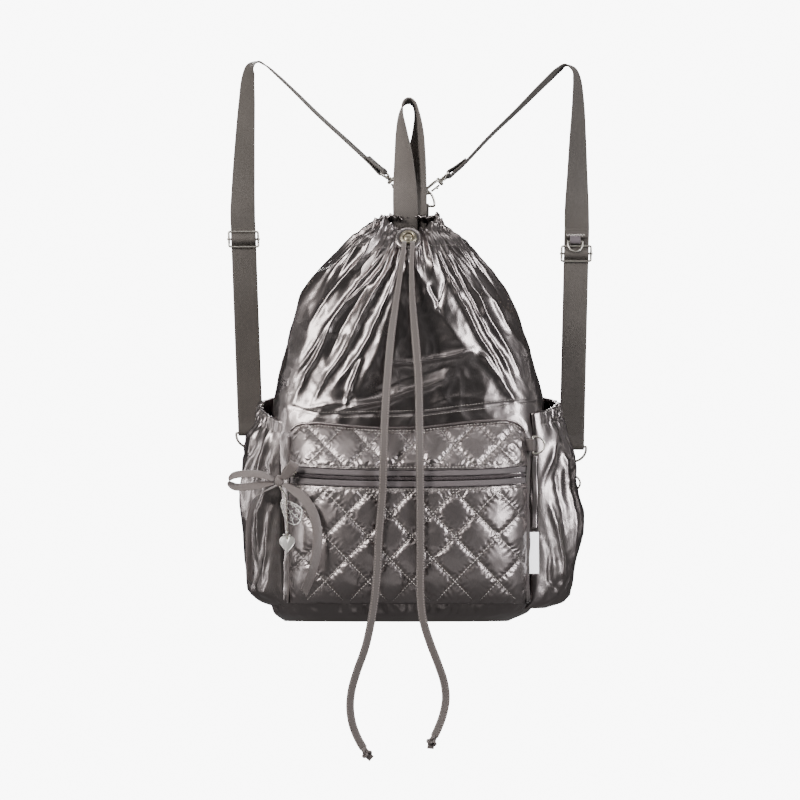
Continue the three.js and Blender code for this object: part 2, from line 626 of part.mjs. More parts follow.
// The side pockets: open at the top, pleated by the elastic there and at the foot.
function makeSidePocket(side, sign) {
  const { columns, pleats, sewn_in, top_rise } = SIDE_POCKET;
  const grid = (inset) => SIDE_ROWS.map((row, i) => Array.from({ length: columns + 1 }, (_, j) => {
    const share = j / columns;
    const rise = (top_rise * share * i) / (SIDE_ROWS.length - 1);
    const pleat = row.pleat * Math.cos(2 * Math.PI * pleats * share) * Math.sin(Math.PI * share);
    const edge = rowAt(BAG_ROWS, row.z).half_width - sewn_in;
    const out = mix(edge, row[side], Math.sin(Math.PI * share) ** 0.55) + pleat - inset;
    const y = mix(SIDE_POCKET.front + inset, SIDE_POCKET.back - inset, share);
    return new THREE.Vector3(sign * out, y, row.z + rise);
  }));
  add(`side_pocket_${side}`, cut(wall(grid(0), grid(SIDE_POCKET.thick)), bagFilled), materials.shell);
}

function makeHaulLoop() {
  const line = HAUL_ROWS.map(vector);
  const across = (i) => turned(HAUL_ROWS[i].turn).add(new THREE.Vector3(0, 0, HAUL_ROWS[i].turn / 400));
  const band = sweep(flatOutline(WEBBING.width, 2), line, across);
  const wallRings = BAG_ROWS.map((row) => bagRing(row, CLOTH + GAP));
  const top = wallRings.at(-1).map((p) => p.clone().add(new THREE.Vector3(0, 0, 60)));
  const inside = solid(skin([...wallRings, top]));
  const above = new THREE.BoxGeometry(200, 200, 200).translate(0, 0, -8);
  add("haul_loop", fromSolid(largest(solid(band).intersect(inside.add(solid(above))))), materials.webbing);
}

// A D-shaped ring: a bar along one direction and a round that reaches away from it.
function dRing({ width, height, wire }, bar, round) {
  const arc = Array.from({ length: 9 }, (_, i) => (i / 8) * Math.PI);
  const line = [
    ...arc.map((angle) => bar.clone().multiplyScalar((Math.cos(angle) * width) / 2)
      .addScaledVector(round, RING_SHOULDER + (height - RING_SHOULDER) * Math.sin(angle))),
    bar.clone().multiplyScalar(-width / 2),
    bar.clone().multiplyScalar(width / 2),
  ];
  const normal = bar.clone().cross(round).normalize();
  return sweep(roundOutline(wire, WIRE_SIDES), line, () => normal, true);
}

// A strip folded round a ring's bar, with both of its ends pulled the same way. slack widens the fold.
function foldedTab(wire, bar, pull, width, length, slack = 0) {
  const thick = TAB_THICK;
  const round = wire + GAP + slack + thick / 2;
  const apart = thick / 2 + GAP / 2;
  const out = bar.clone().cross(pull).normalize();
  const bend = [60, 30, 0, -30, -60].map((degrees) => THREE.MathUtils.degToRad(degrees))
    .map((angle) => [-round * Math.cos(angle), round * Math.sin(angle)]);
  const side = [[length, apart], [5 * round, apart], [1.6 * round, round * 0.9], [0.4 * round, round]];
  const path = [...side, ...bend, ...side.map(([a, b]) => [a, -b]).reverse()];
  const line = path.map(([a, b]) => pull.clone().multiplyScalar(a).addScaledVector(out, b));
  return sweep(flatOutline(width, thick), line, () => bar);
}

function makeTopRing() {
  add("top_ring", moved(dRing(TOP_RING, X, Z), TOP_RING), materials.nickel);
  const pull = new THREE.Vector3(0, 0.42, -0.91).normalize();
  const tab = moved(foldedTab(TOP_RING.wire, X, pull, 28, 34), TOP_RING);
  add("top_ring_tab", cut(tab, bagFilled), materials.webbing);
}

// A snap hook's own directions: along towards its tip, and side towards its gate.
function hookFrame(side) {
  const sign = side === "left" ? -1 : 1;
  const half = TOP_RING.width / 2;
  const across = (sign * HOOK_REACH) / half;
  const climb = Math.sqrt(1 - across ** 2);
  const held = new THREE.Vector3(TOP_RING.x + sign * HOOK_REACH, TOP_RING.y,
    TOP_RING.z + RING_SHOULDER + (TOP_RING.height - RING_SHOULDER) * climb);
  const wireWay = new THREE.Vector3(half * climb, 0, -sign * TOP_RING.height * Math.abs(across)).normalize();
  const along = new THREE.Vector3(...STRAPS[side].pull).normalize();
  const level = wireWay.clone().addScaledVector(along, -wireWay.dot(along)).normalize();
  const skew = THREE.MathUtils.degToRad(HOOK.skew) * sign;
  const normal = level.clone().applyAxisAngle(along, skew);
  const gateSide = normal.clone().cross(along).normalize();
  const eye = held.clone().addScaledVector(along, -HOOK.length);
  const eyeWay = new THREE.Vector3(0, 1, 0);
  eyeWay.addScaledVector(along, -eyeWay.dot(along)).normalize();
  return { along, gateSide, normal, eye, eyeWay };
}

function makeHook(side) {
  const { along, gateSide, normal, eye, eyeWay } = hookFrame(side);
  const place = (a, s) => eye.clone().addScaledVector(along, a).addScaledVector(gateSide, s);
  const corner = (a, w) => eye.clone().addScaledVector(along, a).addScaledVector(eyeWay, w);
  const half = HOOK.eye_width / 2;
  const { eye_height, eye_shoulder, shank, gate } = HOOK;
  const eyeLine = [corner(0, -half), corner(0, half), corner(eye_shoulder, half),
    corner(eye_height, half - eye_shoulder), corner(eye_height, eye_shoulder - half), corner(eye_shoulder, -half)];
  const eyeNormal = along.clone().cross(eyeWay);
  const eyeLoop = sweep(roundOutline(HOOK.eye_wire, WIRE_SIDES), eyeLine, () => eyeNormal, true);
  const barrel = ({ from, to, radius }) => sweep(
    roundOutline(radius, 8), [place(from, 0), place(to, 0)], () => normal);
  add(`hook_${side}_eye`, joined(eyeLoop, barrel(HOOK.post)), materials.nickel);

  const crown = Array.from({ length: 9 }, (_, i) => (i / 8 - 0.5) * Math.PI * 1.02)
    .map((angle) => place(shank.crown + HOOK.side * Math.cos(angle), HOOK.side * Math.sin(angle)));
  const line = [place(shank.from, -HOOK.side / 2), place(shank.bend, -HOOK.side), ...crown];
  const hook = sweep(roundOutline(HOOK.wire, WIRE_SIDES), line, () => normal);
  add(`hook_${side}_body`, joined(barrel(HOOK.collar), hook), materials.nickel);

  const bar = sweep(roundOutline(gate.wire, WIRE_SIDES),
    [place(gate.from, HOOK.side), place(gate.to, HOOK.side)], () => normal);
  const thumb = sweep(flatOutline(2 * gate.wire, 2 * gate.wire),
    [place(gate.thumb, HOOK.side), place(gate.thumb, HOOK.side + gate.thumb_height)], () => normal);
  add(`hook_${side}_gate`, joined(bar, thumb), materials.nickel);
}

// Half way round a bar: distances across from it and beyond it.
const roundBar = (radius) => [0, 45, 90, 135, 180].map((degrees) => THREE.MathUtils.degToRad(degrees))
  .map((angle) => ({ across: radius * Math.cos(angle), beyond: radius * Math.sin(angle) }));

// A shoulder strap: from behind its slider, down round the ring at its foot, up through the slider, over
// the crown and round the eye of its snap hook, where its end is sewn back.
function makeStrap(side) {
  const { slider, foot, rows } = STRAPS[side];
  const { along, eye, eyeWay } = hookFrame(side);
  const sign = side === "left" ? 1 : -1;
  const bottom = vector(foot);
  const leg = vector(slider).sub(bottom).normalize();
  const atSlider = ({ rise, back }) => vector(slider).addScaledVector(leg, rise).add(new THREE.Vector3(0, back, 0));
  const footRound = roundBar(FOOT_RING.wire + GAP + WEBBING.thick / 2)
    .map(({ across, beyond }) => ({ rise: -beyond, back: across }));
  const atFoot = ({ rise, back }) => bottom.clone().addScaledVector(leg, rise).add(new THREE.Vector3(0, back, 0));
  const eyeRound = roundBar(HOOK.eye_wire + GAP + WEBBING.thick / 2)
    .map(({ across, beyond }) => ({ before: -beyond, over: across }));
  const under = along.clone().cross(eyeWay).multiplyScalar(sign);
  const atEye = ({ before, over }) => eye.clone().addScaledVector(along, -before).addScaledVector(under, -over);
  const face = turned(0);
  const edge = eyeWay.clone().multiplyScalar(-sign);
  const stations = [
    ...ROUND_MIDDLE_BAR.map((row) => [atSlider(row), face]),
    ...[...TO_FOOT, ...footRound, ...FROM_FOOT].map((row) => [atFoot(row), face]),
    ...THROUGH_SLIDER.map((row) => [atSlider(row), face]),
    ...rows.map((row) => [vector(row), turned(row.turn)]),
    ...[...TO_EYE, ...eyeRound, ...FROM_EYE].map((row) => [atEye(row), edge]),
  ];
  const band = sweep(flatOutline(WEBBING.width, WEBBING.thick), stations.map(([point]) => point),
    (i) => stations[i][1]);
  add(`strap_${side}`, band, materials.webbing);
  makeSlider(side, leg);
}

function makeSlider(side, leg) {
  const centre = vector(STRAPS[side].slider);
  const half = WEBBING.width / 2 + 2.2;
  const rim = BAR_PITCH;
  const at = (x, rise) => centre.clone().addScaledVector(X, x).addScaledVector(leg, rise);
  const corners = [[-half + 2, rim], [half - 2, rim], [half, rim - 2], [half, -rim + 2],
    [half - 2, -rim], [-half + 2, -rim], [-half, -rim + 2], [-half, rim - 2]];
  const frame = sweep(roundOutline(WIRE, WIRE_SIDES), corners.map(([x, rise]) => at(x, rise)),
    () => new THREE.Vector3(0, 1, 0), true);
  const bar = sweep(roundOutline(WIRE, WIRE_SIDES), [at(-half - 1.8, 0), at(half + 1.8, 0)], () => Z);
  add(`slider_${side}`, joined(frame, bar), materials.nickel);
}

// The ring at a strap's foot, and the tab that holds it to the bag's back.
function makeStrapFoot(side, sign) {
  const { foot } = STRAPS[side];
  add(`foot_ring_${side}`, moved(dRing(FOOT_RING, X, Z.clone().negate()), foot), materials.nickel);
  const turn = THREE.MathUtils.degToRad(FOOT_RING.hold_turn);
  const [inward, down] = [-sign * Math.sin(turn), -Math.cos(turn)];
  const hold = vector(foot).add(new THREE.Vector3(
    (inward * FOOT_RING.width) / 2, 0, down * (FOOT_RING.height - RING_SHOULDER) - RING_SHOULDER));
  const pull = new THREE.Vector3(inward, -FOOT_RING.tab_lean, down).normalize();
  const across = new THREE.Vector3(down, 0, -inward);
  const { wire, tab_width, tab_length, tab_slack } = FOOT_RING;
  const tab = moved(foldedTab(wire, across, pull, tab_width, tab_length, tab_slack), hold);
  add(`foot_tab_${side}`, cut(tab, bagFilled), materials.webbing);
}

function makeCords() {
  for (const [side, rows] of Object.entries(CORD_ROWS)) {
    const curve = new THREE.CatmullRomCurve3(rows.map(vector), false, "centripetal");
    const outline = new THREE.Shape(roundOutline(0.5, 8)
      .map((p) => new THREE.Vector2(p.across * CORD.width * 1.08, p.through * CORD.thick * 1.08)));
    const steps = Math.round(curve.getLength() / CORD_STEP);
    add(`drawcord_${side}`, new THREE.ExtrudeGeometry(outline, { extrudePath: curve, steps }), materials.cord);
    const end = curve.getPoint(1);
    const way = curve.getTangent(1);
    const knot = new THREE.SphereGeometry(0.5, 8, 6).rotateX(Math.PI / 2);
    knot.scale(KNOT.width, KNOT.thick, KNOT.length).rotateY(Math.atan2(-way.x, -way.z));
    add(`cord_knot_${side}`, moved(knot, end.addScaledVector(way, KNOT.length / 2 + GAP)), materials.cord);
  }
}

function makeEyelet() {
  const { hole, rim, thick } = EYELET;
  const profile = [[hole, -thick / 2], [rim - 0.6, -thick / 2], [rim, 0], [rim - 1, thick / 2],
    [hole + 0.6, thick / 2], [hole, 0], [hole, -thick / 2]];
  const ring = new THREE.LatheGeometry(profile.map(([r, h]) => new THREE.Vector2(r, h)), 16);
  ring.rotateX(Math.PI / 2).translate(0, 0, 2 * GAP + thick / 2);
  add("eyelet", cut(atEyelet(ring), bagFilled), materials.nickel);
}

// The point just off the bow's knot on one side of it.
function onKnot(direction) {
  const way = direction.clone().normalize();
  const reach = 1 / Math.hypot(way.x / BOW.half_width, way.y / BOW.half_depth, way.z / BOW.half_height);
  return vector(BOW).addScaledVector(way, reach + 2 * GAP);
}

function makeBow() {
  for (const [name, { leaves, across, rows, returns }] of Object.entries(RIBBON_ROWS)) {
    const route = [onKnot(new THREE.Vector3(...leaves)), ...rows.map(vector)];
    if (returns) route.push(onKnot(new THREE.Vector3(...returns)));
    const curve = new THREE.CatmullRomCurve3(route, false, "centripetal");
    const line = curve.getSpacedPoints(12);
    const way = new THREE.Vector3(...across);
    add(name, sweep(flatOutline(RIBBON.width, RIBBON.thick), line, () => way), materials.ribbon);
  }
  const knot = new THREE.SphereGeometry(1, 10, 6).scale(BOW.half_width, BOW.half_depth, BOW.half_height);
  add("bow_knot", moved(knot, BOW), materials.ribbon);
}

function makeCharm() {
  const { x, y, heart_top, heart_width, heart_height, thick } = CHARM;
  const lobes = Array.from({ length: 20 }, (_, i) => (i / 20) * 2 * Math.PI).map((angle) => {
    const across = (Math.sin(angle) ** 3 * heart_width) / 2;
    const up = (13 * Math.cos(angle) - 5 * Math.cos(2 * angle) - 2 * Math.cos(3 * angle) - Math.cos(4 * angle));
    return new THREE.Vector2(across, (up * heart_height) / 29);
  });
  const heart = new THREE.ExtrudeGeometry(new THREE.Shape(lobes), { depth: thick, bevelEnabled: false });
  heart.rotateX(Math.PI / 2);
  heart.translate(x, y + thick / 2, heart_top - heart_height * 0.42);
  add("heart_charm", heart, materials.nickel);
  const links = new THREE.CatmullRomCurve3([onKnot(new THREE.Vector3(...CHAIN_LEAVES)), ...CHAIN_ROWS.map(vector)]);
  add("charm_chain", sweep(roundOutline(1.1, 6), links.getSpacedPoints(12), () => X), materials.nickel);

  const outline = new THREE.Shape(LACE_OUTLINE.map((row) => new THREE.Vector2(row.x, row.z)));
  const lace = new THREE.ExtrudeGeometry(outline, { depth: LACE.thick, bevelEnabled: false });
  lace.rotateX(Math.PI / 2);
  add("lace_motif", lace.translate(0, LACE.y + LACE.thick, 0), materials.nickel);
}

function makeSideTrim() {
  add("seam_ring", moved(dRing(SEAM_RING, Z, X), SEAM_RING), materials.nickel);
  const seamPull = new THREE.Vector3(-0.94, 0.34, 0).normalize();
  const seamTab = moved(foldedTab(SEAM_RING.wire, Z, seamPull, 12, 20), SEAM_RING);
  add("seam_ring_tab", cut(seamTab, bagFilled, solid(pocketBlock())), materials.webbing);

  add("side_ring", moved(dRing(SIDE_RING, Z, X), SIDE_RING), materials.nickel);
  const sidePull = new THREE.Vector3(-0.97, -0.25, 0).normalize();
  const sideTab = moved(foldedTab(SIDE_RING.wire, Z, sidePull, 16, 60), SIDE_RING);
  add("side_ring_tab", cut(sideTab, bagFilled), materials.webbing);

  const ringDown = new THREE.Vector3(0, -0.43, -0.9).normalize();
  add("strap_ring", moved(dRing(STRAP_RING, X, ringDown), STRAP_RING), materials.nickel);
  add("strap_ring_tab", moved(foldedTab(STRAP_RING.wire, X, Z, 10.5, 13), STRAP_RING), materials.webbing);

  const label = new THREE.BoxGeometry(LABEL.width, LABEL.thick, LABEL.top - LABEL.foot);
  label.translate(LABEL.width / 2, 0, 0).rotateZ(THREE.MathUtils.degToRad(LABEL.turn));
  label.translate(LABEL.x, LABEL.y, (LABEL.top + LABEL.foot) / 2);
  add("side_label", cut(label, bagFilled), materials.label);
}

// A filled block over the front pocket, that trims what is sewn into the pocket's side seam.
function pocketBlock() {
  const columns = Array.from({ length: 25 }, (_, i) => mix(POCKET.left - 1, POCKET.right + 1, i / 24));
  const heights = [...POCKET_ROWS.map((row) => row.z)];
  const face = heights.map((z) => columns.map((x) => new THREE.Vector3(x, pocketFace(x, z) - QUILT.puff, z)));
  const back = heights.map((z) => columns.map((x) => new THREE.Vector3(x, 0, z)));
  return wall(face, back);
}

makeBag();
makePocket();
makeZipper();
makeSidePocket("left", -1);
makeSidePocket("right", 1);
makeHaulLoop();
makeTopRing();
for (const side of ["left", "right"]) {
  makeStrap(side);
  makeHook(side);
}
makeStrapFoot("left", -1);
makeStrapFoot("right", 1);
makeCords();
makeEyelet();
makeBow();
makeCharm();
makeSideTrim();

export default backpack;
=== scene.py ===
"""A quilted drawstring backpack in crinkled metallic nylon, hanging by its haul loop.

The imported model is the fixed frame. Tables and sizes below are in millimetres in the same frame: +X is the
viewer's right, -Y the quilted front and +Z up, with the origin under the haul loop's crown.
"""

import math

import bmesh
import bpy
import numpy as np
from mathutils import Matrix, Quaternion, Vector, noise


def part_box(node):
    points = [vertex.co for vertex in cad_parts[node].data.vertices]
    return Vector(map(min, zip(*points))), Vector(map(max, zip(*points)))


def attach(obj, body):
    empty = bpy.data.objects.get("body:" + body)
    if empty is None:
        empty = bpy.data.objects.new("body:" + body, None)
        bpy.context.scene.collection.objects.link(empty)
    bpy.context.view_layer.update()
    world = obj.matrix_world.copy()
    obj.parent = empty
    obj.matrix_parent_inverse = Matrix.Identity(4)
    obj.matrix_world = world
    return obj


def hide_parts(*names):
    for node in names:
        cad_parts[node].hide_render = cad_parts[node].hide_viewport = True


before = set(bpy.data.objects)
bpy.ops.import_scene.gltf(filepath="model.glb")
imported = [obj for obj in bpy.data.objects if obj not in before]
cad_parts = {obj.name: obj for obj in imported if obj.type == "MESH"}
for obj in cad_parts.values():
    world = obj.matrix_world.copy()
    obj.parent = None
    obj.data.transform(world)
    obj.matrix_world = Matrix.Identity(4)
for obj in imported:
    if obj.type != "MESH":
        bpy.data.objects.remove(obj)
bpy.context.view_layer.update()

bl_info = {
    "name": "Quilted drawstring backpack",
    "version": (1, 0, 0),
    "blender": (4, 5, 0),
    "location": "3D View > Sidebar > Backpack",
    "description": "Makes the cloth, webbing, trim and finishes of a quilted drawstring backpack",
    "category": "Object",
}

MM = 0.001
ROOT = "bag"
LEFT, RIGHT = "left", "right"


def table(columns, *rows):
    """A short table as one array for each named column."""
    return dict(zip(columns.split(), np.array(rows, float).T))


# The bag's sections from its base to its drawn mouth. x and y are the section's centre, and lip is how much
# lower its front is than its back.
BAG = table(
    "z x y half_width half_depth squareness lip",
    (-517, -12, 2, 112, 50, 2.6, 0),
    (-508, -8, 2, 127, 59, 2.8, 0),
    (-488, -2, 2, 135, 64, 3.2, 0),
    (-412, -1.5, 2.5, 136, 64, 3.2, 0),
    (-336, -1, 3, 137, 64, 3.2, 0),
    (-301, -1, 3, 135, 62, 3.0, 0),
    (-267, -2, 1, 127, 59, 2.7, 0),
    (-210, -3, -3, 109, 52, 2.3, 0),
    (-183, -4, -5, 96, 47, 2.2, 2),
    (-160, -3, -8, 79, 42, 2.1, 5),
    (-140, -1, -10, 59, 36, 2.0, 9),
    (-125, 0, -9, 44, 27, 2.0, 13),
    (-116, 0, -8, 36, 18.5, 2.0, 16),
)
CLOTH = 2.4
# The heights of the drawn cord's casing, of the stitches under it and of the fine gathers at the bag's foot.
DRAWN = {"casing": -129, "stitches": -135}
FOOT_GATHERS = -501
# The mesh is finest where the bag's cloth is seen: at the front, and above and below the pocket.
BAG_HEIGHTS = np.concatenate([
    np.linspace(-517, -495, 22, endpoint=False), np.linspace(-495, -332, 44, endpoint=False),
    np.linspace(-332, -116, 144)])
BAG_COLUMNS = 380
BAG_SHARES = np.linspace(0, 1, BAG_COLUMNS, endpoint=False)
BAG_SHARES = BAG_SHARES + 0.48 * np.sin(2 * np.pi * BAG_SHARES) / (2 * np.pi)
LINING_ROWS = 36

# Folds of the cloth, each with its height, its half width and its line in the photograph's frame. A height
# below nothing is a hollow.
PHOTO_ZERO = (408.5, 104.0)
FRONT_FOLDS = [
    (4.6, 3.4, [(392, 250), (370, 282), (342, 308), (318, 352), (288, 412)]),
    (3.8, 3.2, [(394, 256), (372, 298), (346, 348), (306, 412)]),
    (3.6, 3.0, [(388, 246), (356, 286), (320, 338), (288, 388)]),
    (3.2, 3.0, [(386, 240), (352, 268), (324, 302), (304, 336)]),
    (2.8, 2.8, [(382, 236), (356, 252), (330, 280)]),
    (3.4, 3.6, [(398, 262), (384, 306), (360, 352), (328, 398)]),
    (5.4, 16.0, [(404, 262), (390, 310), (372, 360), (350, 402)]),
    (4.8, 15.0, [(406, 254), (424, 288), (448, 326), (474, 358)]),
    (3.0, 2.4, [(430, 238), (461, 302), (517, 402)]),
    (3.2, 2.4, [(434, 235), (470, 300), (525, 400)]),
    (3.0, 2.4, [(438, 233), (478, 298), (532, 394)]),
    (3.4, 3.6, [(440, 228), (472, 266), (502, 312), (522, 352)]),
    (4.6, 4.4, [(334, 412), (384, 400), (420, 390), (462, 374)]),
    (3.8, 4.0, [(380, 364), (420, 362), (446, 357), (482, 346)]),
    (-3.0, 11.0, [(366, 394), (410, 378), (450, 367), (484, 362)]),
    (3.4, 2.6, [(362, 354), (353, 382), (344, 412)]),
    (-3.0, 5.0, [(426, 284), (438, 306), (446, 322)]),
    (3.6, 5.0, [(478, 350), (498, 376), (520, 406)]),
    (1.8, 4.0, [(300, 408), (340, 404), (384, 400), (404, 404)]),
    (1.2, 4.0, [(424, 406), (456, 398), (486, 400), (520, 396)]),
    (-3.0, 4.0, [(446, 280), (440, 300), (434, 316)]),
    (-3.2, 6.0, [(452, 264), (480, 314), (504, 366)]),
    (-3.0, 5.0, [(376, 270), (350, 314), (322, 366)]),
]
SIDE_FOLDS = {
    LEFT: [
        (3.2, 3.2, [(272, 428), (262, 452), (254, 478), (250, 500)]),
        (3.4, 3.4, [(276, 440), (268, 478), (258, 520), (254, 566)]),
        (3.0, 2.8, [(274, 500), (266, 540), (262, 588)]),
        (2.4, 2.6, [(262, 426), (252, 440), (247, 460)]),
        (-2.6, 4.0, [(270, 462), (260, 500), (250, 540)]),
    ],
    RIGHT: [
        (3.4, 3.0, [(556, 436), (549, 462), (541, 486), (538, 506)]),
        (3.6, 3.4, [(561, 442), (570, 480), (575, 520), (572, 574)]),
        (3.0, 2.6, [(546, 498), (557, 530), (561, 556), (560, 590)]),
        (2.4, 2.4, [(568, 440), (576, 466), (580, 500)]),
        (-2.8, 4.0, [(553, 466), (560, 500), (567, 544)]),
        (-2.8, 1.8, [(538, 503), (546, 548), (549, 579), (560, 592), (571, 599)]),
    ],
}
BACK_FOLDS = [
    (4.0, 5.0, [(398, 246), (360, 310), (312, 388)]),
    (4.0, 5.0, [(416, 246), (452, 312), (500, 390)]),
    (3.6, 5.0, [(386, 240), (340, 286), (298, 340)]),
    (3.6, 5.0, [(430, 238), (480, 290), (520, 344)]),
    (3.2, 7.0, [(406, 262), (398, 330), (404, 396)]),
    (3.0, 12.0, [(316, 402), (380, 452), (470, 470)]),
    (2.8, 14.0, [(486, 420), (440, 500), (340, 560)]),
]

POCKET = {"left": -119.5, "right": 118.5, "top": -319, "foot": -499, "edge": 5, "round": 0.42}
POCKET_ROWS = table(
    "z forward",
    (-499, 8),
    (-490, 20),
    (-470, 28),
    (-430, 32),
    (-383, 32),
    (-365, 30),
    (-342, 18),
    (-319, 1),
)
PADDING = 2.6
# The lid's top edge in the photograph's frame.
LID_EDGE = [(289, 436), (291, 431), (296, 426), (303, 424), (320, 423.4), (350, 426.5), (379, 428.5),
            (423, 428), (470, 422.5), (503, 420), (514, 422), (521, 426.5), (525, 432), (527, 437)]
QUILT = {"across": 43, "down": 45, "x": 24.5, "z": -408.7}
CRUSHED = {"x": 104, "z": -340, "reach": 13, "tall": 1.3}
# The outline of the zipper slider's plates, along the zipper and across it.
SLIDER_PLATE = [(-3.8, -1.6), (-2.2, -3.7), (2.6, -3.0), (3.9, -1.2), (3.9, 1.2), (2.6, 3.0), (-2.2, 3.7),
                (-3.8, 1.6)]
SLIDER_ARCH = [(-2.6, 1.2), (-2.2, 2.3), (0, 2.9), (2.0, 2.3), (2.4, 1.2)]
ZIPPER = {"top": -365.5, "foot": -382.8, "tape": 5.8, "coil": 4.2, "lift": 4}

# The side pockets: how far out each one bulges at each height, and the pleat that its elastic makes.
SIDE_POCKET = {"front": -40, "back": 40, "sewn_in": 12, "thick": 2, "top_rise": 12, "band": 13}
# How far the front end of each top edge dips, and how hollow each pocket is half way up.
SIDE_DIP = {LEFT: 14, RIGHT: 5}
SIDE_HOLLOW = {LEFT: 1.4, RIGHT: 3.8}
SIDE_ROWS = table(
    "z left right pleat",
    (-504, 128, 136, 0.4),
    (-497, 146, 157, 2),
    (-486, 158, 164, 1.5),
    (-457, 162, 169, 0.4),
    (-420, 167, 175, 0.2),
    (-388, 171, 170, 0.3),
    (-356, 166, 165, 1),
    (-333, 160, 157, 1.4),
    (-318, 152, 153, 2),
    (-304, 149, 149, 2.4),
)

WEBBING = {"width": 25, "thick": 1.5}
# Rows of stitches, each with its pitch, a stitch's length and the thread's radius.
SEAM_STITCH = (3.0, 2.0, 0.24)
CASING_STITCH = (3.2, 2.0, 0.24)
QUILT_STITCH = (3.2, 2.1, 0.55)
HEM_STITCH = (3.4, 2.2, 0.45)
ELASTIC_STITCH = (2.8, 1.9, 0.24)
PATCH_STITCH = (2.6, 1.8, 0.24)

# The haul loop: x, y, z and the turn of its webbing from facing the viewer (0) to edge on (90).
HAUL_ROWS = [
    (-3, 17, -142, 0),
    (-3, 10.3, -126, 0),
    (-3, 4.4, -112, 0),
    (-3.2, 2.2, -100, 6),
    (-4, 0.8, -76, 26),
    (-5, 0.2, -52, 45),
    (-7, 0, -27, 66),
    (-7.4, 0, -9, 82),
    (-4.6, 0, 0.6, 88),
    (0.4, 0, 3.4, 90),
    (5.4, 0, 0.2, 88),
    (8.4, 0, -9, 82),
    (9.6, 0.4, -27, 66),
    (8.2, 1.6, -52, 45),
    (6.8, 3, -76, 26),
    (6, 4.6, -100, 6),
    (6, 7, -112, 0),
    (6, 13, -126, 0),
    (6, 19.8, -142, 0),
]
TOP_RING = {"at": (6.5, 14, -102), "width": 39, "height": 20, "wire": 1.25}
FOOT_RING = {"width": 29, "height": 15, "wire": 1.25, "hold_turn": 50}
SEAM_RING = {"at": (124, -53, -341), "width": 17, "height": 11.5, "wire": 0.95}
SIDE_RING = {"at": (151, 56, -379.5), "width": 22, "height": 21.5, "wire": 1.1}
STRAP_RING = {"at": (167.5, 47.9, -136.8), "width": 15, "height": 11.2, "wire": 0.9}
STRAP_HEM = {"x": 168.8, "y": 48.1, "foot": -133.2, "top": -123.8, "sewn": -130.4, "width": 24.4}
# The strap ring's tab from under the hem, round the ring's bar and up behind it: back and up from the bar.
STRAP_TAB_WRAP = [(0.7, 10.5), (0.5, 6.5), (-0.7, 3.4), (-1.75, 0.8), (-1.6, -0.9), (-0.6, -1.75),
                  (0.7, -1.6), (1.45, -0.4), (1.5, 2), (1.5, 8)]
RING_SHOULDER = 1.6
TAB_THICK = 1.2
GAP = 0.4

HOOK_REACH = 13
HOOK = {"length": 27, "side": 4.2, "skew": 35, "wire": 1.5, "eye_width": 28, "eye_height": 6.5,
        "eye_wire": 1.2}
# The turned profiles of a hook's swivel post and of its body's collar, as radii and places along the hook.
HOOK_POST = [(1.2, 5.4), (2.2, 5.6), (2.6, 6.2), (2.6, 7.6), (1.7, 8.0), (1.7, 8.6), (2.5, 9.0), (2.5, 9.7),
             (1.6, 9.9)]
HOOK_COLLAR = [(1.5, 10.2), (3.9, 10.3), (4.6, 10.8), (4.6, 12.6), (3.8, 13.3), (1.5, 13.4)]

# The shoulder straps above their sliders: x, y, z and the turn of the webbing.
STRAPS = {
    LEFT: {
        "sign": -1,
        "pull": (0.72, -0.1, -0.69),
        "lean": -9,
        "slider": (-165.6, 50, -134.5),
        "foot": (-158.5, 56, -329),
        "rows": [
            (-166.3, 50, -96, 14),
            (-164.6, 47, -46, 34),
            (-162.3, 43, 2, 49),
            (-160.6, 40, 28, 60),
            (-157.4, 38, 39, 70),
            (-150.6, 37, 43, 82),
            (-143, 36, 39.5, 92),
            (-133, 35, 31, 96),
            (-116.5, 33, 15.5, 98),
            (-88.5, 28, -12, 101),
            (-60.5, 22.5, -37.5, 103),
        ],
    },
    RIGHT: {
        "sign": 1,
        "pull": (-0.78, -0.1, -0.62),
        "lean": 5,
        "slider": (168.5, 50, -149),
        "foot": (164, 56, -343),
        "rows": [
            (169, 50, -110, -8),
            (169.4, 49, -78, -30),
            (169.9, 47, -38, -46),
            (170.2, 43, 4, -62),
            (168.6, 40, 27, -72),
            (165, 38, 36, -78),
            (158.4, 37, 39.5, -76),
            (151, 36, 35.5, -73),
            (136.5, 34.5, 22, -74),
            (108.5, 30, -6, -79),
            (80.5, 25, -33, -83),
        ],
    },
}
BAR_PITCH = 7.6
SLIDER_WIRE = 1.1

# The webbing round a slider's bars and round the foot ring, as heights above the middle bar and distances
# behind it, and round the hook's eye, as distances before its bar and over it.
THROUGH_SLIDER = [
    (-24, 2.2), (-9.5, 2.2), (-7.4, 2.15), (-5.6, 1.2), (-4.4, -0.6), (-3.3, -2.7), (-1.7, -3.9), (0, -4.3),
    (1.7, -3.9), (3.3, -2.7), (4.4, -0.6), (5.6, 1.2), (7.4, 2.15), (9.5, 2.2), (24, 1.4),
]
ROUND_MIDDLE_BAR = [
    (-26, 6.4), (-9, 6.3), (-4.5, 5.1), (-1, 3.8), (1.4, 1.9), (2.3, 0), (1.6, -1.6), (0, -2.3), (-1.6, -1.6),
    (-2.5, 0.3), (-3.7, 2.2), (-6.4, 3.9), (-9.5, 4.2), (-26, 4.2),
]
TO_FOOT = [(52, 3.2), (26, 2.6), (10, 2.6), (4, 2.4)]
FROM_FOOT = [(4, -2.1), (10, -0.2), (26, 0.6), (52, 1.2)]
TO_EYE = [(16, 1.5), (6, 2), (1.5, 2.35)]
FROM_EYE = [(1.5, -2.35), (6, -1.6), (22, -0.9)]

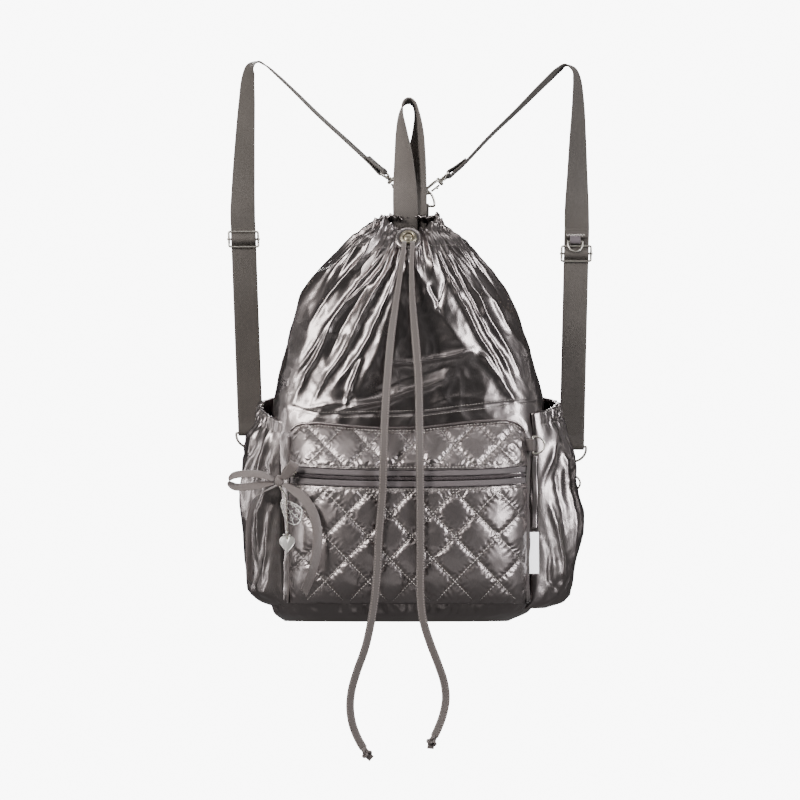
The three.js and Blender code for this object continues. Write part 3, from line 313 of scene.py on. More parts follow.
# The two tails of the drawcord, from the eyelet to their knots.
CORD = {"width": 8, "thick": 2.2}
KNOT_LENGTH = 10
CORD_FRONT = -99
CORD_TURN = {LEFT: 0.6, RIGHT: 2.2}
CORD_ROWS = {
    LEFT: [
        (-4.4, -43.6, -138.6),
        (-4.5, -48.4, -141.2),
        (-5, -52, -147),
        (-6.6, -56, -158),
        (-11.5, -65, -192),
        (-17, -73, -230),
        (-20.8, -83, -272),
        (-23.6, -92, -315),
        (-24.8, CORD_FRONT, -352),
        (-26, CORD_FRONT, -390),
        (-29.5, CORD_FRONT, -430),
        (-31.5, CORD_FRONT, -470),
        (-35, CORD_FRONT, -503),
        (-42.5, CORD_FRONT, -540),
        (-51.5, CORD_FRONT, -566),
        (-56.5, CORD_FRONT, -584),
        (-58, CORD_FRONT, -601),
        (-55.5, CORD_FRONT, -618),
        (-50, CORD_FRONT, -632),
        (-44.6, CORD_FRONT, -641.5),
    ],
    RIGHT: [
        (3.9, -43.6, -138.6),
        (3.9, -48.4, -141.2),
        (3.6, -52, -147),
        (3.1, -56, -158),
        (3.6, -65, -192),
        (6.4, -73, -230),
        (9.6, -83, -272),
        (10.6, -92, -315),
        (11.2, CORD_FRONT, -352),
        (11.6, CORD_FRONT, -400),
        (11.8, CORD_FRONT, -450),
        (11.8, CORD_FRONT, -490),
        (14.4, CORD_FRONT, -514),
        (21, CORD_FRONT, -536),
        (29, CORD_FRONT, -557),
        (35, CORD_FRONT, -575),
        (37, CORD_FRONT, -591),
        (34.8, CORD_FRONT, -606),
        (30, CORD_FRONT, -620),
        (25.6, CORD_FRONT, -629.5),
    ],
}
EYELET = {"at": (-0.3, -134.5), "hole": 5, "rim": 8.6}

# The ribbon bow tied to the zipper's pull: where each ribbon leaves its knot, the way across the ribbon, its
# centreline and, for a loop, where it comes back to the knot.
RIBBON = {"width": 10, "thick": 0.8}
BOW = {"at": (-128.5, -72, -377), "half": (4.6, 4.4, 6.6)}
RIBBONS = {
    "bow_loop_left": {
        "leaves": (-1, -0.1, 0.3),
        "across": (0.06, 0.7, 0.72),
        "rows": [
            (-148, -70, -369.6),
            (-164, -68, -369.4),
            (-175, -66, -372),
            (-178, -65.5, -377),
            (-174, -66, -381.4),
            (-164, -68, -382.6),
            (-148, -70, -381),
        ],
        "returns": (-1, -0.1, -0.3),
    },
    "bow_loop_right": {
        "leaves": (0.5, -0.85, 0.6),
        "across": (0.84, 0, -0.54),
        "rows": [
            (-119, -79, -367.5),
            (-114.5, -81, -361),
            (-113.2, -79.5, -358.4),
            (-113.6, -77, -359),
            (-118.5, -75.5, -365),
        ],
        "returns": (0.5, -0.25, 0.9),
    },
    "bow_tail_left": {
        "leaves": (-0.5, -0.65, -0.75),
        "across": (0.55, 0.75, 0.36),
        "rows": [
            (-143, -78, -386.5),
            (-152, -75, -393),
            (-156.6, -69, -406),
            (-158.4, -64, -424),
            (-159, -61, -446),
            (-158.6, -60, -476),
        ],
    },
    "bow_tail_right": {
        "leaves": (0.8, -0.65, -0.5),
        "across": (0.86, 0.3, 0.42),
        "rows": [
            (-114, -84, -386),
            (-104, -90, -394),
            (-95, -95, -408),
            (-90.5, -98, -426),
            (-91, -99, -446),
            (-96, -98, -467),
            (-104.4, -95, -488),
        ],
    },
}
CHARM = {"x": -120.5, "y": -81, "heart_top": -431, "width": 15.5, "height": 18.5}
CHAIN_LEAVES = (0.15, -0.5, -1)
CHAIN_ROWS = [(-122.3, -81.2, -392), (-121.3, -81, -405), (-120.5, -81, -418), (-120.5, -81, -432.5)]
# The heart's sections from its crown in front to its back: how far each one reaches out, and how far forward.
HEART_RINGS = [(0.05, 2.2), (0.35, 2.1), (0.6, 1.8), (0.78, 1.35), (0.86, 1.0), (0.9, 1.15), (0.97, 0.8),
               (1.0, 0.0), (0.97, -0.8), (0.86, -1.2), (0.5, -1.6), (0.05, -1.7)]
LACE = {"y": -79.4, "thick": 1.2, "ribs": 7}
LACE_OUTLINE = [(-127.5, -393), (-105.5, -402.5), (-106.5, -410.6), (-107.9, -416.8), (-112.5, -421),
                (-122.7, -416)]
LABEL = {"x": 118.1, "y": -46.5, "top": -427.6, "foot": -469, "width": 12, "turn": 15}

CAMERA = {"x": 400, "y": 400, "distance": 12.0, "frame": 0.8, "sensor": 36}


def srgb(red, green, blue):
    """A colour given from 0 to 255 as linear light."""
    shares = (value / 255 for value in (red, green, blue))
    return tuple(share / 12.92 if share <= 0.04045 else ((share + 0.055) / 1.055) ** 2.4 for share in shares)


def shaded(colour, share):
    """A colour made darker or lighter by a share, as far as white."""
    return tuple(min(1, value * share) for value in colour)


def unit(vectors):
    """Vectors made one long."""
    return vectors / np.maximum(np.linalg.norm(vectors, axis=-1, keepdims=True), 1e-9)


def smoothstep(low, high, value):
    """0 at low, 1 at high, and smooth between them."""
    share = np.clip((value - low) / (high - low), 0, 1)
    return share * share * (3 - 2 * share)


def bell(value, middle, half_width):
    """1 at the middle, falling away smoothly on both sides."""
    return np.exp(-(((value - middle) / half_width) ** 2))


def signed_power(value, exponent):
    """A power that keeps its value's sign."""
    return np.sign(value) * np.abs(value) ** exponent


def photo_place(points):
    """Points of the photograph's frame as x and z."""
    return np.array([(x - PHOTO_ZERO[0], PHOTO_ZERO[1] - y) for x, y in points], float)


def read(rows, z):
    """Every column of a table at heights, on smooth curves that never overshoot a row."""
    z = np.clip(z, rows["z"][0], rows["z"][-1])
    i = np.clip(np.searchsorted(rows["z"], z, side="right") - 1, 0, len(rows["z"]) - 2)
    step = np.diff(rows["z"])
    share = (z - rows["z"][i]) / step[i]
    found = {}
    for name, column in rows.items():
        slope = np.diff(column) / step
        inner = np.where(slope[:-1] * slope[1:] > 0,
                         2 * slope[:-1] * slope[1:] / (slope[:-1] + slope[1:] + 1e-12), 0)
        tangent = np.concatenate([slope[:1], inner, slope[-1:]])
        rise = column[i + 1] - column[i]
        a, b = tangent[i] * step[i], tangent[i + 1] * step[i]
        found[name] = (column[i] + a * share + (3 * rise - 2 * a - b) * share**2
                       + (a + b - 2 * rise) * share**3)
    return found


def smooth_line(rows, count):
    """Evenly spaced places on a smooth curve through rows of x, y, z and any further columns."""
    rows = np.asarray(rows, float)
    gap = np.linalg.norm(np.diff(rows[:, :3], axis=0), axis=1) ** 0.5
    knots = np.concatenate([[0], np.cumsum(gap)])
    slope = np.diff(rows, axis=0) / gap[:, None]
    tangent = np.empty_like(rows)
    tangent[0], tangent[-1] = slope[0], slope[-1]
    tangent[1:-1] = slope[:-1] + slope[1:] - (rows[2:] - rows[:-2]) / (gap[:-1] + gap[1:])[:, None]
    fine = np.linspace(0, knots[-1], 40 * len(rows))
    i = np.clip(np.searchsorted(knots, fine, side="right") - 1, 0, len(gap) - 1)
    wide = gap[i][:, None]
    s = (fine - knots[i])[:, None] / wide
    dense = ((2 * s**3 - 3 * s**2 + 1) * rows[i] + (s**3 - 2 * s**2 + s) * wide * tangent[i]
             + (3 * s**2 - 2 * s**3) * rows[i + 1] + (s**3 - s**2) * wide * tangent[i + 1])
    return spaced(dense, count)


def spaced(line, count):
    """A line of points resampled evenly."""
    run = np.concatenate([[0], np.cumsum(np.linalg.norm(np.diff(line[:, :3], axis=0), axis=1))])
    at = np.linspace(0, run[-1], count)
    return np.stack([np.interp(at, run, column) for column in line.T], 1)


def corners_cut(line, closed, times=2):
    """A line with its corners rounded."""
    for _ in range(times):
        ahead = np.roll(line, -1, axis=0)
        pairs = np.stack([0.75 * line + 0.25 * ahead, 0.25 * line + 0.75 * ahead], 1)
        inner = pairs.reshape(-1, line.shape[1])
        line = inner if closed else np.concatenate([line[:1], inner[:-2], line[-1:]])
    return line


def way(turn_degrees):
    """The way across webbing that is turned from facing the viewer."""
    angle = np.radians(turn_degrees)
    return np.stack([np.cos(angle), -np.sin(angle), np.zeros_like(angle)], -1)


def flat_section(width, thick):
    """A flat band's section with soft edges."""
    across = np.array([-1, -0.975, -0.9, -0.6, -0.2, 0.2, 0.6, 0.9, 0.975, 1]) * width / 2
    through = np.array([0.3, 0.8, 1, 1, 1, 1, 1, 1, 0.8, 0.3]) * thick / 2
    return np.concatenate([np.stack([across, through], 1), np.stack([across, -through], 1)[::-1]])


def round_section(radius, sides=12):
    """A round wire's section."""
    angle = np.linspace(0, 2 * np.pi, sides, endpoint=False)
    return radius * np.stack([np.cos(angle), np.sin(angle)], 1)


def circle(centre, one, two, radius, count, closed=True):
    """Points round a circle that lies along two directions."""
    angle = np.linspace(0, 2 * np.pi, count, endpoint=not closed)[:, None]
    return centre + (np.array(one) * np.cos(angle) + np.array(two) * np.sin(angle)) * radius


def waves(points, size, seed, sharp=False):
    """Noise from -1 to 1 at points, with features of a size. Sharp noise has creases where it turns."""
    places = (points.reshape(-1, 3) / size + seed * 17.3).tolist()
    value = np.array([noise.noise(Vector(place)) for place in places]).reshape(points.shape[:-1])
    return 1 - 4 * np.abs(value) if sharp else value * 1.6


def sheet_normals(points, wrapped=False):
    """The way out of a grid of points, to the left of its rows."""
    if wrapped:
        around = np.roll(points, -1, axis=1) - np.roll(points, 1, axis=1)
    else:
        around = np.gradient(points, axis=1)
    return unit(np.cross(around, np.gradient(points, axis=0)))


def ridge(x, z, folds):
    """The height of folds over places seen from the front."""
    total = np.zeros_like(x)
    places = np.stack([x, z * 0, z], -1)
    # The folds wander, so that none runs straight.
    x = x + 1.6 * waves(places, 38, 41) + 0.5 * waves(places, 12, 43)
    z = z + 1.6 * waves(places, 38, 42)
    for height, half_width, pixels in folds:
        line = spaced(np.pad(photo_place(pixels), ((0, 0), (0, 1))), 12)[:, :2]
        nearest = np.full(x.shape, 1e9)
        share = np.zeros_like(x)
        for i in range(len(line) - 1):
            start, run = line[i], line[i + 1] - line[i]
            t = np.clip(((x - start[0]) * run[0] + (z - start[1]) * run[1]) / (run @ run), 0, 1)
            away = np.hypot(x - start[0] - t * run[0], z - start[1] - t * run[1])
            closer = away < nearest
            nearest = np.where(closer, away, nearest)
            share = np.where(closer, (i + t) / (len(line) - 1), share)
        ends = smoothstep(0, 0.15, share) * smoothstep(1, 0.7, share)
        round_off = 0.5 + (0.22 * max(half_width - 5, 0)) ** 2
        crest = np.exp(-1.25 * (np.sqrt(nearest**2 + round_off) - round_off**0.5) / half_width)
        body = crest - 0.4 * bell(nearest, 0, 2.4 * half_width)
        total += height * ends * body
    return total


class Form:
    """Points in millimetres, their flat places and faces, gathered into one mesh."""

    def __init__(self):
        self.points, self.flat, self.faces, self.count = [], [], [], 0

    def add(self, points, flat):
        """Adds points and their flat places, and gives the number of the first one."""
        start = self.count
        self.points.append(np.asarray(points, float).reshape(-1, 3))
        self.flat.append(np.asarray(flat, float).reshape(-1, 2))
        self.count += len(self.points[-1])
        return start

    def grid(self, points, flat=None, wrapped=False, ring=False, capped=False):
        """A sheet of rows and columns. wrapped joins the last column to the first, and ring the last row."""
        rows, columns = points.shape[:2]
        if flat is None:
            run = np.cumsum(np.linalg.norm(np.diff(points, axis=0, prepend=points[:1]), axis=2).mean(1))
            width = np.cumsum(np.linalg.norm(np.diff(points, axis=1, prepend=points[:, :1]), axis=2).mean(0))
            flat = np.stack(np.broadcast_arrays(width[None, :], run[:, None]), -1)
        start = self.add(points, flat)
        i = np.arange(rows if ring else rows - 1)[:, None]
        j = np.arange(columns if wrapped else columns - 1)[None, :]
        low, high = i * columns, ((i + 1) % rows) * columns
        after = (j + 1) % columns
        quads = np.stack(np.broadcast_arrays(low + j, low + after, high + after, high + j), -1)
        self.faces += (quads.reshape(-1, 4) + start).tolist()
        for row in (0, rows - 1) if capped else ():
            middle = self.add(points[row].mean(0), flat[row].mean(0))
            loop = start + row * columns + np.arange(columns)
            self.faces += [[a, b, middle] for a, b in zip(loop.tolist(), np.roll(loop, -1).tolist())]
        return self

    def wall(self, outer, inner, flat=None):
        """A closed sheet between two grids of points."""
        columns = outer.shape[1]
        both = np.concatenate([outer, inner[:, ::-1]], axis=1)
        if flat is None:
            flat = np.stack([both[..., 0], both[..., 2]], -1)
        self.grid(both, flat, wrapped=True)
        start = self.count - both.shape[0] * both.shape[1]
        for row in (0, both.shape[0] - 1):
            at = start + row * 2 * columns
            self.faces += [[at + j, at + j + 1, at + 2 * columns - 2 - j, at + 2 * columns - 1 - j]
                           for j in range(columns - 1)]
        return self

    def sweep(self, section, line, across, closed=False, widths=1.0, raised=0.0, slid=0.0):
        """A section of across and through distances, skinned along a line.

        raised moves its points further through, and slid moves them along the line.
        """
        line = np.asarray(line, float)
        around = np.roll(line, -1, axis=0) - np.roll(line, 1, axis=0) if closed else np.gradient(line, axis=0)
        across = np.broadcast_to(np.asarray(across, float), line.shape)
        through = unit(np.cross(around, across))
        side = unit(np.cross(through, around))
        wide = np.broadcast_to(widths, len(line))[:, None, None]
        raised, slid = (np.broadcast_to(by, (len(line), len(section)))[..., None] for by in (raised, slid))
        points = (line[:, None] + side[:, None] * section[:, :1] * wide
                  + through[:, None] * (section[:, 1:] + raised) + unit(around)[:, None] * slid)
        run = np.cumsum(np.linalg.norm(np.diff(line, axis=0, prepend=line[:1]), axis=1))
        flat = np.stack(np.broadcast_arrays(section[None, :, 0], run[:, None]), -1)
        return self.grid(points, flat, wrapped=True, ring=closed, capped=not closed)

    def barrel(self, profile, base, axis, sides=24, closed=False):
        """A profile of radii and heights turned about an axis from its base."""
        axis = unit(np.asarray(axis, float))
        start = np.array([0, 0, 1.0]) if abs(axis[2]) < 0.9 else np.array([1.0, 0, 0])
        one = unit(np.cross(axis, start))
        two = np.cross(axis, one)
        angle = np.linspace(0, 2 * np.pi, sides, endpoint=False)
        spoke = np.cos(angle)[:, None] * one + np.sin(angle)[:, None] * two
        profile = np.asarray(profile, float)
        points = np.asarray(base, float) + profile[:, None, :1] * spoke + profile[:, None, 1:] * axis
        return self.grid(points, wrapped=True, ring=closed, capped=not closed)

    def ball(self, centre, half, rows=8, columns=12):
        """An ellipsoid with its poles up and down."""
        angle = np.linspace(-np.pi / 2, np.pi / 2, rows + 2)[1:-1, None]
        turn = np.linspace(0, 2 * np.pi, columns, endpoint=False)
        points = np.stack(np.broadcast_arrays(
            np.cos(angle) * np.cos(turn), np.cos(angle) * np.sin(turn), np.sin(angle)), -1)
        return self.grid(np.asarray(centre) + points * np.asarray(half), wrapped=True, capped=True)

    def stitches(self, line, normal, stitch):
        """A row of thread stitches along a line, lying on the surface with the given way out."""
        pitch, length, radius = stitch
        line = np.asarray(line, float)
        normal = np.broadcast_to(np.asarray(normal, float), line.shape)
        run = np.linalg.norm(np.diff(line, axis=0), axis=1).sum()
        count = max(2, int(run / pitch))
        both = spaced(np.concatenate([line, normal], 1), 2 * count + 1)[1::2]
        ends = spaced(line, 2 * count + 1)
        along = unit(ends[2::2] - ends[:-1:2])
        out = unit(both[:, 3:])
        side = np.cross(along, out)
        shape = np.array([(-0.5, 0, 0), (-0.32, 0.8, 0), (-0.32, 0, 1), (-0.32, -0.8, 0), (0.32, 0.8, 0),
                          (0.32, 0, 1), (0.32, -0.8, 0), (0.5, 0, 0), (-0.3, 0, -0.7), (0.3, 0, -0.7)])
        faces = [(0, 1, 2), (0, 2, 3), (0, 3, 8), (0, 8, 1), (1, 4, 5, 2), (2, 5, 6, 3), (3, 6, 9, 8),
                 (8, 9, 4, 1), (7, 5, 4), (7, 6, 5), (7, 9, 6), (7, 4, 9)]
        centre = both[:, :3] + out * radius * 0.5
        points = (centre[:, None] + along[:, None] * shape[:, :1] * length
                  + side[:, None] * shape[:, 1:2] * radius + out[:, None] * shape[:, 2:] * radius)
        start = self.add(points, np.zeros((points.shape[0] * points.shape[1], 2)))
        for i in range(count):
            self.faces += [[start + i * len(shape) + k for k in face] for face in faces]
        return self

    def piece(self, name, finish, slot, body=ROOT, stands_for=(), crease=None):
        """The finished piece, which rides on a body and stands for CAD nodes."""
        mesh = bpy.data.meshes.new(name)
        mesh.from_pydata((np.concatenate(self.points) * MM).tolist(), [], self.faces)
        layer = mesh.uv_layers.new(name="Flat")
        corner = np.empty(len(mesh.loops), np.int32)
        mesh.loops.foreach_get("vertex_index", corner)
        layer.data.foreach_set("uv", (np.concatenate(self.flat) * MM)[corner].astype(np.float32).ravel())
        work = bmesh.new()
        work.from_mesh(mesh)
        bmesh.ops.recalc_face_normals(work, faces=work.faces)
        work.to_mesh(mesh)
        work.free()
        mesh.polygons.foreach_set("use_smooth", np.ones(len(mesh.polygons), bool))
        if crease:
            mesh.set_sharp_from_angle(angle=math.radians(crease))
        mesh.materials.append(MATERIALS[finish])
        made = bpy.data.objects.new(name, mesh)
        bpy.context.scene.collection.objects.link(made)
        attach(made, body)
        if stands_for:
            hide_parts(*stands_for)
        return made


class Value:
    """A shader socket with arithmetic, where each operation adds its Math node."""

    def __init__(self, shader, socket):
        self.shader, self.socket = shader, socket

    def math(self, operation, *others, clamp=False):
        sockets = {i: value for i, value in enumerate((self, *others))}
        return self.shader.node("ShaderNodeMath", {"operation": operation, "use_clamp": clamp}, sockets)

    def __add__(self, other):
        return self.math("ADD", other)

    __radd__ = __add__

    def __mul__(self, other):
        return self.math("MULTIPLY", other)

    __rmul__ = __mul__

    def __sub__(self, other):
        return self.math("SUBTRACT", other)

    def __rsub__(self, other):
        return self.shader.node("ShaderNodeMath", {"operation": "SUBTRACT"}, {0: other, 1: self})

    def __truediv__(self, other):
        return self.math("DIVIDE", other)

    def __pow__(self, other):
        return self.math("POWER", other)

    def __neg__(self):
        return self * -1

    def __gt__(self, other):
        return self.math("GREATER_THAN", other)

    def __lt__(self, other):
        return self.math("LESS_THAN", other)

    def sine(self):
        return self.math("SINE")

    def wave(self, pitch):
        """A wave from 0 to 1."""
        return (self * (2 * math.pi / pitch)).sine() * 0.5 + 0.5

    def floor(self):
        return self.math("FLOOR")

    def fraction(self):
        return self.math("FRACT")

    def absolute(self):
        return self.math("ABSOLUTE")

    def between(self, low, high):
        """0 below low, 1 above high and smooth between them."""
        return self.shader.node("ShaderNodeMapRange", {"interpolation_type": "SMOOTHSTEP"},
                                {"Value": self, "From Min": low, "From Max": high})


class Nodes:
    """A node tree, emptied and built again."""

    def __init__(self, tree):
        self.tree = tree
        tree.nodes.clear()

    def feed(self, socket, value):
        """Links a value to a socket, or sets a constant on it."""
        if isinstance(value, Value):
            self.tree.links.new(value.socket, socket)
        elif socket.type == "RGBA" and len(value) == 3:
            socket.default_value = (*value, 1)
        else:
            socket.default_value = value

    def node(self, kind, settings=None, sockets=None, out=0):
        """One output of a new node, with its settings made and its sockets fed."""
        made = self.tree.nodes.new(kind)
        for key, value in (settings or {}).items():
            setattr(made, key, value)
        for key, value in (sockets or {}).items():
            self.feed(made.inputs[key], value)
        return Value(self, made.outputs[out])


class Shader(Nodes):
    """A material with one Principled surface."""

    def __init__(self, name, **constants):
        self.material = bpy.data.materials.new(name)
        self.material.use_nodes = True
        super().__init__(self.material.node_tree)
        self.surface = self.tree.nodes.new("ShaderNodeBsdfPrincipled")
        output = self.tree.nodes.new("ShaderNodeOutputMaterial")
        self.tree.links.new(self.surface.outputs[0], output.inputs["Surface"])
        for key, value in constants.items():
            self.set(key.replace("_", " ").title(), value)

    def set(self, socket, value):
        """Feeds one of the surface's sockets."""
        self.feed(self.surface.inputs[socket], value)

    def place(self, scale=(1, 1, 1)):
        """Places on the object, in metres, stretched by a scale."""
        return self.vector("MULTIPLY", self.node("ShaderNodeTexCoord", out="Object"), scale)

    def flat(self):
        """How far across and how far along a swept piece, in millimetres."""
        parts = [self.node("ShaderNodeSeparateXYZ", {}, {0: self.node("ShaderNodeTexCoord", out="UV")}, out)
                 for out in (0, 1)]
        return [part * (1 / MM) for part in parts]

    def vector(self, operation, one, two):
        """Two vectors joined by an operation."""
        return self.node("ShaderNodeVectorMath", {"operation": operation}, {0: one, 1: two})

    def warped(self, place, size, reach):
        """A place moved about by noise of a size, both in metres."""
        sockets = {"Vector": place, "Scale": 1 / size, "Detail": 2}
        drift = self.vector("SUBTRACT", self.node("ShaderNodeTexNoise", {}, sockets, "Color"), (0.5,) * 3)
        return self.vector("ADD", place, self.vector("MULTIPLY", drift, (reach,) * 3))

    def noise(self, place, size, detail=2, rough=0.5, **settings):
        """Noise with features of a size, in metres."""
        return self.node("ShaderNodeTexNoise", settings, {
            "Vector": place, "Scale": 1 / size, "Detail": detail, "Roughness": rough})

    def mix(self, factor, one, two):
        """One colour at a factor of 0 and the other at 1."""
        return self.node("ShaderNodeMix", {"data_type": "RGBA"}, {0: factor, 6: one, 7: two}, 2)

    def bump(self, *layers):
        """Bumps from heights from 0 to 1, each with its real height in millimetres."""
        normal = None
        for height, tall in layers:
            sockets = {"Height": height, "Distance": tall * MM, "Strength": 1.0}
            if normal is not None:
                sockets["Normal"] = normal
            normal = self.node("ShaderNodeBump", {}, sockets)
        self.set("Normal", normal)


MATERIALS = {}


def crinkled_nylon(name, colour, rough=0.27, crinkle=1.0):
    """Coated metallic nylon: hard creases of several sizes over a fine weave."""
    shader = Shader(name, metallic=1.0)
    place = shader.place()
    bent = shader.warped(place, 0.05, 0.018)
    large = shader.noise(bent, 0.034, 3, 0.5, noise_type="RIDGED_MULTIFRACTAL")
    small = shader.noise(shader.warped(place, 0.02, 0.008), 0.013, 3, 0.55, noise_type="RIDGED_MULTIFRACTAL")
    soft = shader.noise(bent, 0.016, 4, 0.6)
    weave = shader.noise(place, 0.0007, 1)
    cloud = shader.noise(place, 0.06, 3, 0.6)
    shader.set("Base Color", shader.mix(cloud.between(0.3, 0.7), colour, shaded(colour, 0.82)))
    shader.set("Roughness", rough - 0.05 + 0.12 * cloud + 0.03 * weave)
    shader.bump((weave, 0.02), (small, 0.16 * crinkle), (soft, 0.7 * crinkle), (large, 0.55 * crinkle))
    return shader.material


def woven_webbing(name, colour, rib=3.1, pitch=1.7):
    """Herringbone webbing, with a plain selvage along both edges."""
    shader = Shader(name, roughness=0.72, sheen_weight=0.08, sheen_roughness=0.4)
    shader.set("Specular IOR Level", 0.2)
    across, along = shader.flat()
    column = (across / rib).floor()
    lean = (column * 0.5).fraction() * 4 - 1
    rising = (along + lean * (across - column * rib)).wave(pitch)
    edge = (across.absolute() - 11.4).between(0, 0.4)
    threads = shader.noise(shader.place(), 0.0012, 2)
    wear = shader.noise(shader.place(), 0.05, 3).between(0.35, 0.75)
    shade = shader.mix(rising * 0.7 + threads * 0.3, shaded(colour, 0.62), shaded(colour, 1.22))
    shader.set("Base Color", shader.mix(wear * 0.25, shade, shaded(colour, 1.5)))
    shader.set("Roughness", 0.78 - 0.2 * rising)
    shader.bump((threads, 0.03), (rising - edge * 0.5, 0.12))
    return shader.material


def sewn_cord(name, colour):
    """A flat cord of folded cloth with a row of stitches along both edges, with painted shade in the grooves
    that the stitches sink.
    """
    shader = Shader(name, roughness=0.6, sheen_weight=0.2)
    across, along = shader.flat()
    threads = shader.noise(shader.place((1, 1, 0.5)), 0.0009, 2)
    rib = (along + across * 0.5).wave(1.3)
    seam = (across.absolute() - 2.9).absolute().between(0.8, 0.25)
    stitch = seam * ((along / 2.6).fraction() < 0.7)
    worn = shader.noise(shader.place(), 0.02, 2)
    shade = shader.mix(threads, shaded(colour, 0.7), shaded(colour, 1.15))
    # Painted shade: the cord is made darker along each row of stitches, in the groove that the stitches sink.
    shade = shader.mix(seam * 0.75, shade, shaded(colour, 0.4))
    shader.set("Base Color", shader.mix(stitch * 0.85, shade, shaded(colour, 2.2)))
    shader.bump((threads, 0.05), (rib, 0.06), (worn, 0.5), (stitch * 0.5 - seam, 0.35))
    return shader.material


def ribbon_cloth(name, colour):
    """Ribbed ribbon with a smooth edge."""
    shader = Shader(name, roughness=0.5, sheen_weight=0.35)
    across, along = shader.flat()
    edge = (across.absolute() - 4.3).between(0, 0.25)
    rib = along.wave(0.9) * (1 - edge)
    crease = shader.noise(shader.place(), 0.009, 3)
    shade = shader.mix(rib, shaded(colour, 0.72), shaded(colour, 1.15))
    shader.set("Base Color", shader.mix(edge * 0.5, shade, shaded(colour, 1.3)))
    shader.bump((rib, 0.07), (crease, 0.5))
    return shader.material


def worn_metal(name, colour, rough=0.2, tarnish=0.4, metallic=1.0):
    """Plated metal with fine scratches and a little tarnish in patches."""
    shader = Shader(name, metallic=metallic)
    patch = shader.noise(shader.place(), 0.004, 4, 0.65).between(0.35, 0.75)
    scratch = shader.noise(shader.place((1, 1, 9)), 0.0012, 3)
    shader.set("Base Color", shader.mix(patch * tarnish, colour, shaded(colour, 0.35)))
    shader.set("Roughness", rough + 0.12 * patch + 0.12 * scratch)
    shader.bump((scratch, 0.02), (patch, 0.03))
    return shader.material


def zipper_cloth(name, colour):
    """The zipper's tape and the seams' binding: fine slanted threads."""
    shader = Shader(name, roughness=0.62, sheen_weight=0.3)
    across, along = shader.flat()
    slant = (across + along).wave(1.1)
    threads = shader.noise(shader.place(), 0.0008, 2)
    light = slant * 0.6 + threads * 0.4
    shader.set("Base Color", shader.mix(light, shaded(colour, 0.6), shaded(colour, 1.25)))
    shader.bump((threads, 0.05), (slant, 0.12))
    return shader.material


def plain_thread(name, colour, rough=0.55):
    """Sewing thread and the zipper's coil."""
    shader = Shader(name, sheen_weight=0.2)
    grain = shader.noise(shader.place(), 0.0006, 2)
    shader.set("Base Color", shader.mix(grain, shaded(colour, 0.75), colour))
    shader.set("Roughness", rough + 0.2 * grain)
    shader.bump((grain, 0.05))
    return shader.material


def bare_label(name, colour):
    """A bare woven label, with a glow that makes it read as white beside dark cloth."""
    shader = Shader(name, roughness=0.7, emission_color=colour, emission_strength=1.6)
    across, along = shader.flat()
    weave = (across * (2 * math.pi / 0.8)).sine() * (along * (2 * math.pi / 0.8)).sine()
    shader.set("Base Color", shader.mix(weave * 0.15 + 0.15, colour, shaded(colour, 0.8)))
    shader.bump((weave, 0.05))
    return shader.material


def make_materials(colours):
    """Every finish, from the colours in the sidebar."""
    MATERIALS.update(
        shell=crinkled_nylon("crinkled_nylon", colours.shell, crinkle=0.6),
        quilt=crinkled_nylon("quilted_nylon", colours.quilt, 0.36, 0.5),
        webbing=woven_webbing("strap_webbing", colours.webbing),
        loop=woven_webbing("loop_webbing", colours.loop),
        cord=sewn_cord("sewn_cord", colours.cord),
        ribbon=ribbon_cloth("bow_ribbon", colours.ribbon),
        tape=zipper_cloth("zipper_tape_cloth", colours.tape),
        coil=plain_thread("zipper_coil_nylon", colours.coil, 0.4),
        thread=plain_thread("sewing_thread", colours.thread),
        piping=zipper_cloth("seam_binding", colours.binding),
        ring_tab=ribbon_cloth("ring_tab_ribbon", colours.ring_tab),
        nickel=worn_metal("nickel", colours.nickel, 0.28, 0.3),
        silver=worn_metal("silver", colours.silver, 0.26, 0.1, 0.5),
        brass=worn_metal("old_brass", colours.brass, 0.28, 0.6),
        label=bare_label("label_weave", colours.label),
    )


def bag_grid(heights, inset=0.0):
    """Rows of the bag's wall at heights, each with its places set round it from the back."""
    row = read(BAG, heights)
    angle = np.linspace(-np.pi, np.pi, 1201)
    points = np.empty((len(heights), BAG_COLUMNS, 3))
    for i in range(len(heights)):
        power = 2 / row["squareness"][i]
        x = row["x"][i] + (row["half_width"][i] - inset) * signed_power(np.sin(angle), power)
        y = row["y"][i] - (row["half_depth"][i] - inset) * signed_power(np.cos(angle), power)
        z = heights[i] - row["lip"][i] / 2 * np.cos(angle)
        ring = np.stack([x, y, z], 1)
        run = np.concatenate([[0], np.cumsum(np.linalg.norm(np.diff(ring, axis=0), axis=1))])
        points[i] = np.stack([np.interp(BAG_SHARES * run[-1], run, column) for column in ring.T], 1)
    return points


def bag_front(x, z):
    """The bag's front face, without its folds."""
    row = read(BAG, z)
    across = np.minimum(1, np.abs(x - row["x"]) / row["half_width"])
    return row["y"] - row["half_depth"] * (1 - across ** row["squareness"]) ** (1 / row["squareness"])


def gather_height(share, z, points):
    """The folds that the drawn cord makes, which spread out as the bag widens below the mouth."""
    turn = 2 * np.pi * share
    spread = np.stack([45 * np.sin(turn), 45 * np.cos(turn), z * 0.15], -1)
    beside_cords = bell(points[..., 0], 12, 34) * (points[..., 1] < 0) * smoothstep(-150, -175, z)
    large = 2.8 * waves(spread, 17, 3, sharp=True) * smoothstep(-280, -165, z)
    small = 1.5 * waves(spread, 8.5, 5, sharp=True) * smoothstep(-205, -140, z)
    drift = waves(spread, 30, 7)
    tight = 1.5 * (1 - 2 * np.abs(np.cos(17 * turn + 4 * drift)) ** 0.8) * smoothstep(-185, -136, z)
    return (large + small + tight) * (1 - 0.75 * beside_cords)


